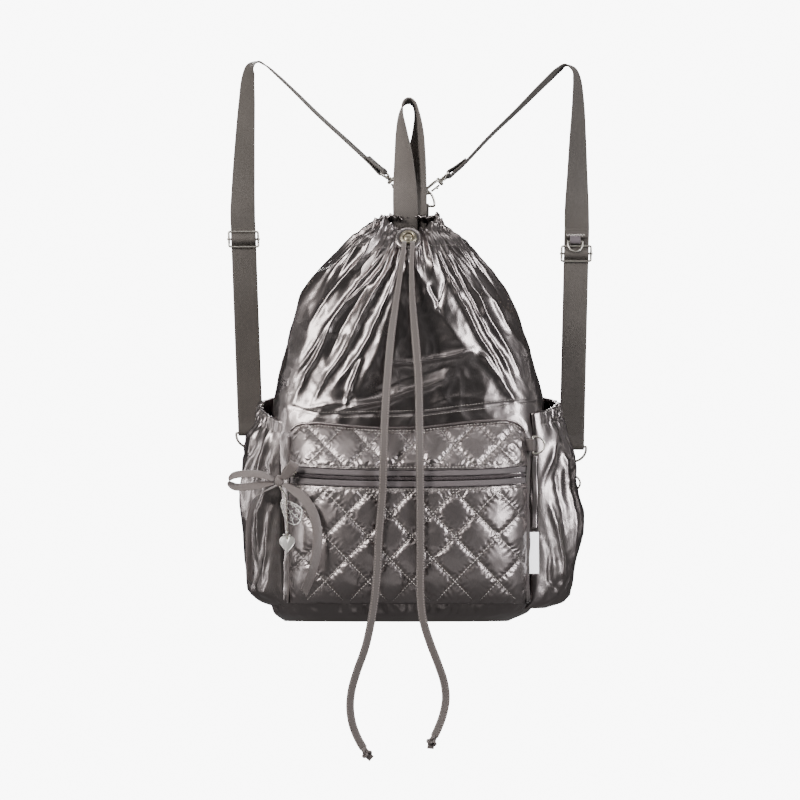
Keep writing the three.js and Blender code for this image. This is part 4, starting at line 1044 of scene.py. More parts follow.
def body_height(points, normals, share):
    """How far the cloth stands out from the bag's plain shape."""
    x, z = points[..., 0], points[..., 2]
    front = smoothstep(0.12, 0.6, -normals[..., 1])
    back = smoothstep(0.12, 0.6, normals[..., 1])
    folds = ridge(x, z, FRONT_FOLDS) * front + ridge(x, z, BACK_FOLDS) * back
    loose = smoothstep(-519, -506, z) * smoothstep(-112, -150, z)
    squashed = points * np.array([1, 1, 0.7])
    crumple = (1.6 * waves(squashed, 60, 1) + 0.8 * waves(squashed, 32, 2, sharp=True)
               + 0.22 * waves(points, 13, 4, sharp=True))
    seam = -0.9 * bell(z, body_seam(x), 1.6) * front * smoothstep(-122, -112, x)
    casing = -2.2 * bell(z, DRAWN["casing"], 3.2)
    low = bell(z, FOOT_GATHERS, 8) * waves(points * np.array([1, 1, 0.35]), 9, 51, sharp=True) * 0.8
    return folds + crumple * loose + seam + casing + low + gather_height(share, z, points)


def body_seam(x):
    """The height of the seam that crosses the bag's front above the pocket."""
    line = photo_place([(278, 398), (290, 406), (322, 415), (422, 413), (504.6, 403), (525, 401), (544, 398)])
    return np.interp(x, line[:, 0], line[:, 1])


def make_bag_shell(sizes):
    """The bag: its outer cloth, its lining and the rolled lip between them."""
    outer = bag_grid(BAG_HEIGHTS)
    share = np.broadcast_to(BAG_SHARES, outer.shape[:2])
    normals = sheet_normals(outer, wrapped=True)
    if normals[len(BAG_HEIGHTS) // 2, BAG_COLUMNS // 2, 1] > 0:
        normals = -normals
    height = body_height(outer, normals, share) * sizes.crumple
    hide = smoothstep(2.6, 1.2, pocket_cover(outer))
    outer = outer + normals * (height * hide)[..., None]
    outer = ruffled(dent_at_eyelet(outer), normals, share)
    lining = bag_grid(np.linspace(BAG["z"][0] + CLOTH, BAG["z"][-1], LINING_ROWS), CLOTH + 1.4)[::-1]
    lining[0] = outer[-1] - normals[-1] * (CLOTH + 0.4) - np.array([0, 0, 0.6])
    lip = (outer[-1] + lining[0]) / 2 + np.array([0, 0, 1.0])
    both = np.concatenate([outer, lip[None], lining])
    shell = Form().grid(both, wrapped=True, capped=True)
    shell.piece("bag_shell", "shell", "shell", stands_for=["bag_body"])

    seams = Form()
    x = np.linspace(-116, 118, 160)
    for shift in (2.6, -2.8):
        seams.stitches(surface_line(outer, x, body_seam(x) + shift), (0, -1, 0.05), SEAM_STITCH)
    turn = np.linspace(0, BAG_COLUMNS, 500, endpoint=False).astype(int)
    level = int(np.argmin(np.abs(outer[:, 0, 2] - DRAWN["stitches"])))
    seams.stitches(outer[level, turn], normals[level, turn], CASING_STITCH)
    seams.piece("bag_seam_stitches", "thread", "shell")


def ruffled(points, normals, share):
    """The loose edge above the drawn cord, thrown into folds and drawn in over the mouth."""
    climb = smoothstep(-131, -119, points[..., 2] + 6 * np.cos(2 * np.pi * (share - 0.5)))[..., None]
    wander = waves(points, 20, 31)
    wave = (1 - 2 * np.abs(np.cos(np.pi * 12 * share + 1.7 * wander)) ** 0.7)[..., None]
    small = (1 - 2 * np.abs(np.cos(np.pi * 29 * share + 2 * wander)))[..., None]
    rough = waves(points, 10, 32, sharp=True)[..., None]
    up = np.array([0, 0, 1.0])
    sideways = np.abs(np.sin(2 * np.pi * share))[..., None]
    x, y = points[..., 0], points[..., 1]
    flanks = bell(x, -22, 10) + 0.85 * bell(x, 28, 9)
    flanks = (flanks * smoothstep(10, -5, y))[..., None]
    out = 2.2 * wave + 0.8 * small + 1.0 * rough - 2.0 - 4.5 * sideways * climb * (1 - flanks)
    lift = 1.3 * waves(points, 13, 33)[..., None] - 0.5 * wave + 0.2 * rough + 1.5 * sideways + 9.5 * flanks
    return points + climb * (normals * out + up * lift)


def pocket_cover(points):
    """How far inside the front pocket's outline a place lies, in millimetres, or nothing elsewhere."""
    x, y, z = points[..., 0], points[..., 1], points[..., 2]
    inside = np.minimum.reduce([x - POCKET["left"] - 3, POCKET["right"] - 3 - x,
                                POCKET["top"] - 3 - z, z - POCKET["foot"] - 3])
    return np.where(y < 0, np.maximum(inside, 0), 0)


def dent_at_eyelet(points):
    """The cloth lies flat behind the eyelet, in the eyelet's own plane."""
    centre, out = eyelet_frame()
    away = np.linalg.norm(points - centre, axis=-1)
    flat = smoothstep(19, 11.5, away)[..., None] * (points[..., 1:2] < -10)
    depth = (points - centre) @ out + 2.6
    return points - out * depth[..., None] * flat


def surface_line(grid, x, z):
    """Places on the front of a grid of points, nearest to places seen from the front."""
    front = grid[:, grid.shape[1] // 5: 4 * grid.shape[1] // 5].reshape(-1, 3)
    found = []
    for across, up in zip(x, z):
        near = (front[:, 0] - across) ** 2 + (front[:, 2] - up) ** 2 + np.where(front[:, 1] > 0, 1e6, 0)
        found.append(front[int(np.argmin(near))])
    line = np.stack([x, np.array(found)[:, 1], z], 1)
    line[:, 1] = np.convolve(np.pad(line[:, 1], 2, mode="edge"), np.ones(5) / 5, mode="valid")
    return line


def zipper_lift(x):
    """How much higher the zipper runs towards the pocket's sides than in its middle."""
    return ZIPPER["lift"] * (np.abs(x) / POCKET["right"]) ** 2.4


def on_pocket(x, z, back):
    """Places on the pocket's face, moved back into it by a distance."""
    return np.stack([x, pocket_face(x, z) + back, z], -1)


def pocket_face(x, z):
    """The front pocket's face: full in the middle, and rounded back to the bag at both sides."""
    middle = (POCKET["left"] + POCKET["right"]) / 2
    across = np.minimum(1, np.abs(x - middle) / ((POCKET["right"] - POCKET["left"]) / 2))
    forward = read(POCKET_ROWS, z)["forward"] * (1 - across ** POCKET["edge"]) ** POCKET["round"]
    return bag_front(x, z) - forward


def pocket_columns(count, z=-430.0, margin=0.0):
    """Places across the pocket, evenly spaced over its rounded face."""
    x = np.linspace(POCKET["left"] + margin, POCKET["right"] - margin, 3000)
    line = np.stack([x, pocket_face(x, np.full_like(x, z)), x * 0], 1)
    return spaced(line, count)[:, 0]


def quilt_lines(x, z):
    """The distances to the nearest stitch line, along it, and to the nearest line each way."""
    u, v = (x - QUILT["x"]) / QUILT["across"], (z - QUILT["z"]) / QUILT["down"]
    reach = QUILT["across"] * QUILT["down"] / math.hypot(QUILT["across"], QUILT["down"])
    one, two = u + v, u - v
    away = [np.abs(line - np.round(line)) * reach for line in (one, two)]
    run = math.hypot(QUILT["across"], QUILT["down"]) / 2
    return np.minimum(*away), np.where(away[0] < away[1], two, one) * run, away


def quilt_height(x, z, puff):
    """How far the quilting stands out before it is blown up: sunk at its stitches, and full between."""
    near, along, away = quilt_lines(x, z)
    pillow = near / (near + 3.2) * 1.35
    full = (1 - np.exp(-away[0] / 3.6)) * (1 - np.exp(-away[1] / 3.6))
    places = np.stack([x, z * 0, z], -1)
    pucker = np.cos(along * (2 * np.pi / 5.2) + 3 * waves(places, 16, 8))
    pucker = pucker * np.exp(-near / 4.5) * (1 - np.exp(-near / 0.9))
    crumple = 0.22 * waves(places, 15, 9, sharp=True) + 0.45 * waves(places, 26, 10)
    corner = np.exp(-(((x - CRUSHED["x"]) ** 2 + (z - CRUSHED["z"]) ** 2) / CRUSHED["reach"] ** 2))
    crushed = CRUSHED["tall"] * corner * waves(places, 9, 14, sharp=True)
    return puff * (0.5 * full + 0.5 * pillow) + 0.3 * pucker + (crumple + crushed) * full


# The simulated sheet: its share of the panel's rows and columns, its scale, its frames and its pressure.
SIM_SHARE = 0.72
SIM_SCALE = 0.02
SIM_FRAMES = 16
SIM_PRESSURE = 2.0
# The shares of a diamond's puff that it has before it is blown up, and that it may gain.
PUFF_AT_START = 0.45
PUFF_BLOWN = 0.42


def blown(grid, held, most):
    """A cloth simulation of a sheet under pressure, which is held fast at some of its points.

    It runs on a coarser copy, fifty millimetres to the unit, and gives how far each place of the grid moves.
    """
    rows, columns = grid.shape[:2]
    i, j = (np.unique(np.round(np.linspace(0, count - 1, int(count * SIM_SHARE))).astype(int))
            for count in (rows, columns))
    coarse = grid[np.ix_(i, j)]
    form = Form().grid(coarse * SIM_SCALE / MM)
    mesh = bpy.data.meshes.new("blown")
    mesh.from_pydata((np.concatenate(form.points) * MM).tolist(), [], form.faces)
    sheet = bpy.data.objects.new("blown", mesh)
    bpy.context.scene.collection.objects.link(sheet)
    outward = -1 if mesh.polygons[len(mesh.polygons) // 2].normal.y > 0 else 1
    pins = np.flatnonzero(held[np.ix_(i, j)].ravel()).tolist()
    sheet.vertex_groups.new(name="held").add(pins, 1.0, "REPLACE")
    modifier = sheet.modifiers.new("Cloth", "CLOTH")
    cloth = modifier.settings
    cloth.quality = 5
    cloth.mass = 0.2
    cloth.tension_stiffness, cloth.compression_stiffness = 20, 20
    cloth.shear_stiffness, cloth.bending_stiffness = 8, 0.15
    cloth.vertex_group_mass = "held"
    cloth.use_pressure = True
    cloth.uniform_pressure_force = SIM_PRESSURE * outward
    cloth.shrink_min = -0.05
    cloth.effector_weights.gravity = 0
    modifier.collision_settings.use_collision = False
    modifier.point_cache.frame_start, modifier.point_cache.frame_end = 1, SIM_FRAMES
    for number in range(1, SIM_FRAMES + 1):
        bpy.context.scene.frame_set(number)
    settled = sheet.evaluated_get(bpy.context.evaluated_depsgraph_get()).to_mesh()
    moved = np.empty(len(settled.vertices) * 3, np.float32)
    settled.vertices.foreach_get("co", moved)
    bpy.context.scene.frame_set(1)
    bpy.data.objects.remove(sheet)
    move = moved.reshape(len(i), len(j), 3).astype(float) / SIM_SCALE - coarse
    size = np.linalg.norm(move, axis=-1, keepdims=True)
    move *= np.minimum(1, most / np.maximum(size, 1e-6))
    across = [[np.interp(np.arange(columns), j, row[:, k]) for k in range(3)] for row in move]
    across = np.array(across)
    full = [[np.interp(np.arange(rows), i, across[:, k, b]) for b in range(columns)] for k in range(3)]
    return np.array(full).transpose(2, 1, 0)


def lid_top(x):
    """The height of the lid's top edge, with its rounded corners."""
    edge = photo_place(LID_EDGE)
    return np.interp(x, edge[:, 0], edge[:, 1])


def quilted_panel(name, node, low, high, sizes, rows, hems):
    """A quilted panel between two edges, given as heights across it, with plain hems along them."""
    columns = pocket_columns(236)
    share = np.linspace(0, 1, rows)[:, None]
    foot, top = low(columns)[None], high(columns)[None]
    z = foot + (top - foot) * share
    x = np.broadcast_to(columns[None], z.shape)
    plain = on_pocket(x, z, 0)
    out = sheet_normals(plain)
    if out[rows // 2, len(columns) // 2, 1] > 0:
        out = -out
    rows_in = np.minimum((z - foot) / hems[0], (top - z) / hems[1])
    sides_in = np.minimum(x - POCKET["left"] - 1.5, POCKET["right"] - 1.5 - x) / 7
    soft = smoothstep(0, 1, np.minimum(rows_in, sides_in))
    puff = sizes.puff / MM * PUFF_AT_START
    height = quilt_height(x, z, puff) * soft + 0.35 * waves(plain, 9, 12, sharp=True) * (1 - soft)
    outer = plain + out * height[..., None]
    held = (quilt_lines(x, z)[0] < 1.0) | (rows_in < 0.7) | (sides_in < 0.2)
    outer = outer + blown(outer, held, sizes.puff / MM * PUFF_BLOWN)
    inner = plain - out * PADDING
    inner[..., 1] = np.minimum(inner[..., 1], bag_front(x, z) - 0.3)
    outer[..., 1] = np.minimum(outer[..., 1], bag_front(x, z) - 0.9)
    made = Form().wall(outer, inner).piece(name, "quilt", "quilting", stands_for=[node])


def quilt_stitches(low, high, margin):
    """Thread along the diagonal quilting lines between two edges."""
    thread = Form()
    run = np.linspace(-6, 6, 900)
    for slope in (1, -1):
        for k in range(-9, 10):
            x = QUILT["x"] + run * QUILT["across"]
            z = QUILT["z"] + slope * (k - run) * QUILT["down"]
            inside = (x > POCKET["left"] + 8) & (x < POCKET["right"] - 8)
            inside &= (z > low(x) + margin) & (z < high(x) - margin)
            if inside.sum() < 8:
                continue
            thread.stitches(on_pocket(x[inside], z[inside], -0.6), (0, -1, 0), QUILT_STITCH)
    return thread


def make_front_pocket(sizes):
    """The quilted lid and front of the pocket, their topstitching, the binding of the right seam and a dark
    strip at the left edge that is painted shadow.
    """
    def foot(x):
        return np.full_like(x, POCKET["foot"])

    def zipper_foot(x):
        return ZIPPER["foot"] - GAP + zipper_lift(x)

    def zipper_top(x):
        return ZIPPER["top"] + zipper_lift(x)

    quilted_panel("pocket_lid_quilting", "pocket_lid", zipper_top, lid_top, sizes, 66, (4.5, 5.5))
    quilted_panel("pocket_front_quilting", "pocket_front", foot, zipper_foot, sizes, 132, (3.5, 4.0))
    quilt_stitches(zipper_top, lid_top, 3.5).piece("pocket_lid_stitches", "thread", "quilting")
    quilt_stitches(foot, zipper_foot, 3.5).piece("pocket_front_stitches", "thread", "quilting")

    hems = Form()
    x = pocket_columns(200, margin=6)
    for z in (ZIPPER["top"] + 2.4, ZIPPER["foot"] - 2.6):
        hems.stitches(on_pocket(x, z + zipper_lift(x), -0.6), (0, -1, 0), HEM_STITCH)
    for drop in (2.2, 5.0):
        hems.stitches(on_pocket(x, lid_top(x) - drop, -0.7), (0, -0.8, 0.6), HEM_STITCH)
    hems.piece("pocket_hem_stitches", "thread", "quilting")

    x = pocket_columns(150, margin=2)
    piping = Form().sweep(round_section(1.3, 10), on_pocket(x, lid_top(x) + 0.6, -1.2), (0, 0, 1))
    piping.piece("pocket_lid_piping", "quilt", "quilting")
    binding = Form()
    # The right strip is the seam's binding. The narrower left strip is a dark sheet painted in as the shadow
    # at the pocket's left edge.
    for edge, inward, width in ((POCKET["left"] + 0.2, 1, 2.6), (POCKET["right"] - 0.2, -1, 4.8)):
        z = np.linspace(POCKET["foot"] + 1, lid_top(np.array(edge)) - 1, 110)
        x = edge + inward * (0.5 * np.sin(z / 11) + 0.3 * np.sin(z / 4.3))
        y = bag_front(x, z) - np.minimum(read(POCKET_ROWS, z)["forward"] * 0.2, 3.5) - 1.6
        binding.sweep(flat_section(width, 2.2), np.stack([x, y, z], 1), (1, -0.6 * inward, 0))
    binding.piece("pocket_binding_and_shadow_strip", "piping", "quilting")


def zipper_strip(high, tall, recess, thick, rows=5):
    """A strip of the zipper between two heights, as its outer and inner points."""
    x = pocket_columns(220, margin=2)
    z = high - tall * (1 - np.linspace(0, 1, rows)[:, None]) + zipper_lift(x)[None]
    across = np.broadcast_to(x[None], z.shape)
    face = pocket_face(across, z) + recess
    flat = np.stack(np.broadcast_arrays(z - z[0], across), -1)
    outer = np.stack([across, face, z], -1)
    inner = outer + np.array([0, thick, 0])
    return outer, inner, np.concatenate([flat, flat[:, ::-1]], 1)


def make_zipper():
    """The zipper: two tapes, its coil, its slider and the pull that the bow is tied to."""
    top = ZIPPER["top"] - GAP
    lower = top - ZIPPER["tape"] - ZIPPER["coil"] - 2 * GAP
    for name, high in (("zipper_tape_upper", top), ("zipper_tape_lower", lower)):
        outer, inner, flat = zipper_strip(high, ZIPPER["tape"], 1.0, 1.0)
        Form().wall(outer, inner, flat).piece(f"{name}_cloth", "tape", "zipper_tape", stands_for=[name])
    x = pocket_columns(210, margin=3)
    z = top - ZIPPER["tape"] - GAP - ZIPPER["coil"] / 2 + zipper_lift(x)
    line = on_pocket(x, z, 1.5)
    coil = Form().sweep(flat_section(2.4, 1.0), line, (0, 0, 1))
    teeth = spaced(line, 165)
    for place, after in zip(teeth[:-1], teeth[1:]):
        along = unit(after - place)
        out = unit(np.cross(along, (0, 0, 1)))
        out = out if out[1] < 0 else -out
        for side in (-1, 1):
            start = place + 0.35 * side * along
            foot = start + np.array([0, 0, side * 1.55]) + out * 0.7
            head = start - np.array([0, 0, side * 0.25]) + out * 0.85
            hump = (foot + head) / 2 + out * 0.75
            tooth = np.array([foot - out * 0.8, foot, hump, head, head - out * 0.8])
            coil.sweep(round_section(0.42, 6), tooth, along)
    coil.piece("zipper_coil_teeth", "coil", "zipper_coil", stands_for=["zipper_coil"])
    make_zipper_slider()


def cad_middle(name):
    """The middle of a CAD node's box."""
    low, high = (np.array(corner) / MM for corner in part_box(name))
    return (low + high) / 2


def make_zipper_slider():
    """The slider's two plates, arch and post, and the pull that runs from its arch to the bow's knot."""
    centre = cad_middle("zipper_slider")
    turn = math.radians(-58)
    along = np.array([math.cos(turn), math.sin(turn), 0])
    out = np.array([math.sin(turn), -math.cos(turn), 0])
    up = np.array([0, 0, 1.0])
    slider = Form()
    outline = corners_cut(np.array(SLIDER_PLATE), True)
    for base, thick, size in ((-1.5, 0.9, 1.0), (0.5, 1.0, 0.94)):
        rings = [centre + out * (base + depth) + (outline[:, :1] * along + outline[:, 1:] * up) * size * grow
                 for depth, grow in ((0, 0.93), (0.15, 1.0), (thick - 0.15, 1.0), (thick, 0.9))]
        slider.grid(np.array(rings), wrapped=True, capped=True)
    arch = [centre + out * d + along * a for a, d in SLIDER_ARCH]
    slider.sweep(flat_section(2.2, 0.9), smooth_line(arch, 14), up)
    slider.sweep(round_section(1.0, 8), np.array([centre - out * 0.9, centre + out * 0.9]) - along * 3.0, up)
    slider.piece("zipper_slider_body", "nickel", "nickel", stands_for=["zipper_slider"], crease=35)

    start = centre + out * 2.6 + along * 0.5
    end = on_knot(start - np.array(BOW["at"]))
    pull = Form().sweep(flat_section(4.2, 1.1), smooth_line([start, (start + end) / 2, end], 12), up)
    pull.piece("zipper_pull_tab", "nickel", "nickel", stands_for=["zipper_pull"], crease=35)


def side_grid(side, sign, rows, columns, inset, sizes):
    """A side pocket's wall, pleated where elastic draws it in at its top and foot."""
    heights = np.linspace(SIDE_ROWS["z"][0], SIDE_ROWS["z"][-1], rows)
    row = read(SIDE_ROWS, heights)
    share = np.linspace(0, 1, columns)[None]
    climb = np.linspace(0, 1, rows)[:, None]
    arc = np.sin(np.pi * share)
    edge = (read(BAG, heights)["half_width"] - SIDE_POCKET["sewn_in"])[:, None]
    out = edge + (row[side][:, None] - edge) * np.maximum(arc, 0) ** 0.68 - inset
    y = SIDE_POCKET["front"] + inset + (SIDE_POCKET["back"] - SIDE_POCKET["front"] - 2 * inset) * share
    z = heights[:, None] + (SIDE_POCKET["top_rise"] * share - SIDE_DIP[side] * (1 - share) ** 2) * climb**3
    points = np.stack(np.broadcast_arrays(sign * out, y, z), -1)
    drift = 0.8 * waves(points, 30, 20 + sign)
    pleat = 0.8 * row["pleat"][:, None] * np.cos(2 * np.pi * 8 * share + 7.0 * drift) * arc
    under_band = SIDE_ROWS["z"][-1] - SIDE_POCKET["band"]
    heights = heights[:, None]
    band = smoothstep(under_band - 8, under_band, heights)
    ruche = band * 1.6 * np.cos(2 * np.pi * 25 * share + 2.5 * drift) * arc
    casing = -1.6 * bell(heights, under_band, 1.6) * arc
    gathered = waves(points * np.array([1, 1, 0.4]), 7, 27, sharp=True) * bell(heights, -488, 8)
    slanted = points.copy()
    slanted[..., 2] = 0.4 * (points[..., 2] - 0.9 * points[..., 1])
    slanted[..., 1] = points[..., 1] + 0.35 * points[..., 2]
    crumple = 3.2 * waves(slanted, 40, 21 + sign, sharp=True) + 0.5 * waves(points, 15, 23 + sign, sharp=True)
    crumple = crumple * (1 - band) * np.minimum(1, arc * 3)
    crumple = crumple - SIDE_HOLLOW[side] * bell(heights, -380, 18) * arc
    folds = ridge(points[..., 0], points[..., 2], SIDE_FOLDS[side])
    folds = folds * smoothstep(0.62, 0.3, share) * np.minimum(1, arc * 4)
    softened = 0.6 if inset else 1
    total = pleat + ruche + casing + 1.3 * gathered * arc + 0.7 * folds + 0.6 * crumple * sizes.crumple
    points[..., 0] += sign * total * softened
    points[..., 1] -= 0.6 * folds * softened
    return points


def make_side_pocket(side, sign, sizes):
    """A side pocket with the stitches along its elastic."""
    rows = 118
    outer = side_grid(side, sign, rows, 84, 0.0, sizes)
    inner = side_grid(side, sign, rows, 84, SIDE_POCKET["thick"], sizes)
    inner[..., 0] = sign * np.minimum(sign * inner[..., 0], sign * outer[..., 0] - 1.0)
    flat = np.concatenate([outer, inner[:, ::-1]], 1)[..., 1:]
    Form().wall(outer, inner, flat).piece(f"side_pocket_{side}_cloth", "shell", "shell",
                                          stands_for=[f"side_pocket_{side}"])
    thread = Form()
    foot, top = SIDE_ROWS["z"][0], SIDE_ROWS["z"][-1]
    for drop in (SIDE_POCKET["band"], 1.8):
        level = int(round((top - drop - foot) / (top - foot) * (rows - 1)))
        thread.stitches(outer[level, 4:-4], (sign, 0, 0), ELASTIC_STITCH)
    thread.piece(f"side_pocket_{side}_stitches", "thread", "shell")


def make_haul_loop():
    """The haul loop: one length of webbing that twists from flat to edge on at its crown."""
    rows = smooth_line(HAUL_ROWS, 150)
    across = way(rows[:, 3]) + np.stack([rows[:, 3] * 0, rows[:, 3] * 0, rows[:, 3] / 400], -1)
    band = Form().sweep(flat_section(WEBBING["width"], 2.0), rows[:, :3], across)
    band.piece("haul_loop_webbing", "loop", "webbing", stands_for=["haul_loop"])


def make_ring(name, ring, bar, turned, body=ROOT):
    """A D-ring of wire: a bar along one direction and a round that reaches away from it."""
    at, bar, turned = (np.asarray(v, float) for v in (ring["at"], bar, turned))
    angle = np.linspace(0, np.pi, 33)[:, None]
    reach = RING_SHOULDER + (ring["height"] - RING_SHOULDER) * np.sin(angle)
    round_part = at + bar * np.cos(angle) * ring["width"] / 2 + turned * reach
    bar_part = at + bar * np.linspace(-1, 1, 9)[:, None] * ring["width"] / 2
    line = corners_cut(np.concatenate([round_part, bar_part]), True)
    form = Form().sweep(round_section(ring["wire"], 14), line, np.cross(bar, turned), closed=True)
    form.piece(f"{name}_wire", "nickel", "nickel", body, [name])


def make_tab(name, finish, at, wire, bar, pull, width, length, slack=0.0):
    """A strip folded round a ring's bar, with both of its ends pulled the same way."""
    at = np.asarray(at, float)
    bar, pull = unit(np.asarray(bar, float)), unit(np.asarray(pull, float))
    radius = wire + GAP + slack + TAB_THICK / 2
    apart = TAB_THICK / 2 + GAP / 2
    out = unit(np.cross(bar, pull))
    bend = [(-radius * math.cos(a), radius * math.sin(a)) for a in np.radians([60, 30, 0, -30, -60])]
    side = [(length, apart), (5 * radius, apart), (1.6 * radius, radius * 0.9), (0.4 * radius, radius)]
    path = side + bend + [(a, -b) for a, b in reversed(side)]
    line = smooth_line([at + pull * a + out * b for a, b in path], 72)
    form = Form().sweep(flat_section(width, TAB_THICK), line, bar)
    form.piece(f"{name}_cloth", finish, "webbing", stands_for=[name])


def make_back_ring():
    """The ring behind the haul loop and the tab that holds it."""
    make_ring("top_ring", TOP_RING, (1, 0, 0), (0, 0, 1))
    make_tab("top_ring_tab", "webbing", TOP_RING["at"], TOP_RING["wire"], (1, 0, 0), (0, 0.42, -0.91), 28, 30)


def hook_frame(side):
    """A snap hook's ways along it, to its gate and through it, its eye's middle and the way across that."""
    sign = STRAPS[side]["sign"]
    half = TOP_RING["width"] / 2
    across = sign * HOOK_REACH / half
    climb = math.sqrt(1 - across**2)
    x, y, z = TOP_RING["at"]
    rise = RING_SHOULDER + (TOP_RING["height"] - RING_SHOULDER) * climb
    held = np.array([x + sign * HOOK_REACH, y, z + rise])
    wire_way = unit(np.array([half * climb, 0, -sign * TOP_RING["height"] * abs(across)]))
    along = unit(np.array(STRAPS[side]["pull"], float))
    level = Vector(unit(wire_way - along * (wire_way @ along)))
    normal = np.array(Quaternion(Vector(along), math.radians(HOOK["skew"]) * sign) @ level)
    gate_side = unit(np.cross(normal, along))
    eye_way = unit(np.array([0, 1.0, 0]) - along * along[1])
    lean = math.radians(STRAPS[side]["lean"])
    eye_way = eye_way * math.cos(lean) + np.cross(along, eye_way) * math.sin(lean) * sign
    return along, gate_side, normal, held - along * HOOK["length"], eye_way


def make_snap_hook(side):
    """A swivel snap hook: its eye and post, its body with the hook, and its sprung gate."""
    along, gate_side, normal, eye, eye_way = hook_frame(side)

    def place(a, s):
        return eye + along * a + gate_side * s

    def corner(a, w):
        return eye + along * a + eye_way * w

    half, top, bend = HOOK["eye_width"] / 2, HOOK["eye_height"], 4
    loop = [corner(0, -half), corner(0, half), corner(bend, half), corner(top, half - bend),
            corner(top, bend - half), corner(bend, -half)]
    loop = corners_cut(np.array(loop), True, 3)
    swivel = Form().sweep(round_section(HOOK["eye_wire"], 12), loop, np.cross(along, eye_way), closed=True)
    swivel.barrel(HOOK_POST, eye, along)
    swivel.piece(f"hook_{side}_swivel", "nickel", "nickel", stands_for=[f"hook_{side}_eye"], crease=40)

    apart = HOOK["side"]
    angle = np.linspace(-0.51, 0.51, 22) * np.pi
    crown = [place(25.8 + apart * math.cos(a), apart * math.sin(a)) for a in angle]
    line = smooth_line([place(12, -2.1), place(14.5, -apart), *crown], 60)
    body = Form().barrel(HOOK_COLLAR, eye, along)
    body.sweep(round_section(HOOK["wire"], 14), line, normal)
    body.piece(f"hook_{side}_snap", "nickel", "nickel", stands_for=[f"hook_{side}_body"], crease=40)

    gate = Form().sweep(round_section(1.05, 12), np.array([place(14, apart), place(24.2, apart)]), normal)
    lever = smooth_line([place(17.4, apart), place(17.4, apart + 1.6), place(17.3, apart + 2.5)], 8)
    gate.sweep(round_section(0.9, 10), lever, normal)
    gate.ball(place(17.3, apart + 1.9), (1.2, 1.2, 1.2), 6, 10)
    gate.piece(f"hook_{side}_gate_bar", "nickel", "nickel", f"gate_{side}", [f"hook_{side}_gate"], crease=40)


def round_bar(radius):
    """Half way round a bar: distances before it and over it."""
    return [(-radius * math.sin(a), radius * math.cos(a)) for a in np.radians([0, 45, 90, 135, 180])]


def strap_line(side):
    """A strap's centreline with the way across it at each place."""
    strap = STRAPS[side]
    slider, bottom = np.array(strap["slider"], float), np.array(strap["foot"], float)
    along, _, _, eye, eye_way = hook_frame(side)
    leg = unit(slider - bottom)
    behind = np.array([0, 1.0, 0])
    under = np.cross(along, eye_way) * -strap["sign"]
    face, edge = way(0.0), eye_way * strap["sign"]
    foot_round = round_bar(FOOT_RING["wire"] + GAP + WEBBING["thick"] / 2)
    eye_round = round_bar(HOOK["eye_wire"] + GAP + WEBBING["thick"] / 2)
    rows = []
    for start, wraps in ((slider, ROUND_MIDDLE_BAR), (bottom, TO_FOOT + foot_round + FROM_FOOT),
                         (slider, THROUGH_SLIDER)):
        rows += [np.concatenate([start + leg * rise + behind * back, face]) for rise, back in wraps]
    rows += [np.concatenate([np.array(row[:3], float), way(row[3])]) for row in strap["rows"]]
    rows += [np.concatenate([eye - along * before - under * over, edge])
             for before, over in TO_EYE + eye_round + FROM_EYE]
    return smooth_line(rows, 640)


def make_strap(side):
    """A shoulder strap, from behind its slider round the foot ring to the crown and round its hook's eye."""
    rows = strap_line(side)
    band = Form().sweep(flat_section(WEBBING["width"], WEBBING["thick"]), rows[:, :3], rows[:, 3:])
    band.piece(f"strap_{side}_webbing", "webbing", "webbing", stands_for=[f"strap_{side}"])
    make_strap_slider(side)


def make_strap_slider(side):
    """The slider on a strap: a frame of wire with a middle bar."""
    strap = STRAPS[side]
    centre, bottom = np.array(strap["slider"], float), np.array(strap["foot"], float)
    leg = unit(centre - bottom)
    half, rim = WEBBING["width"] / 2 + 2.2, BAR_PITCH

    def at(x, rise):
        return centre + np.array([x, 0, 0]) + leg * rise

    corners = np.array([at(-half, rim), at(half, rim), at(half, -rim), at(-half, -rim)])
    sides = [np.linspace(a, b, 6)[:-1] for a, b in zip(corners, np.roll(corners, -1, 0))]
    frame_line = corners_cut(np.concatenate(sides), True, 3)
    slider = Form().sweep(round_section(SLIDER_WIRE, 12), frame_line, (0, 1, 0), closed=True)
    slider.sweep(round_section(SLIDER_WIRE, 12), np.array([at(-half - 1.8, 0), at(half + 1.8, 0)]), (0, 0, 1))
    slider.piece(f"slider_{side}_frame", "nickel", "nickel", stands_for=[f"slider_{side}"], crease=50)


def make_strap_feet():
    """The ring at each strap's foot, and the tab that holds it to the bag's back."""
    turn = math.radians(FOOT_RING["hold_turn"])
    for side, strap in STRAPS.items():
        foot = np.array(strap["foot"], float)
        make_ring(f"foot_ring_{side}", {**FOOT_RING, "at": foot}, (1, 0, 0), (0, 0, -1))
        inward, down = -strap["sign"] * math.sin(turn), -math.cos(turn)
        hold = foot + np.array([inward * FOOT_RING["width"] / 2, 0,
                                down * (FOOT_RING["height"] - RING_SHOULDER) - RING_SHOULDER])
        make_tab(f"foot_tab_{side}", "webbing", hold, FOOT_RING["wire"], (down, 0, -inward),
                 (inward, -0.42, down), 9, 38, 0.8)


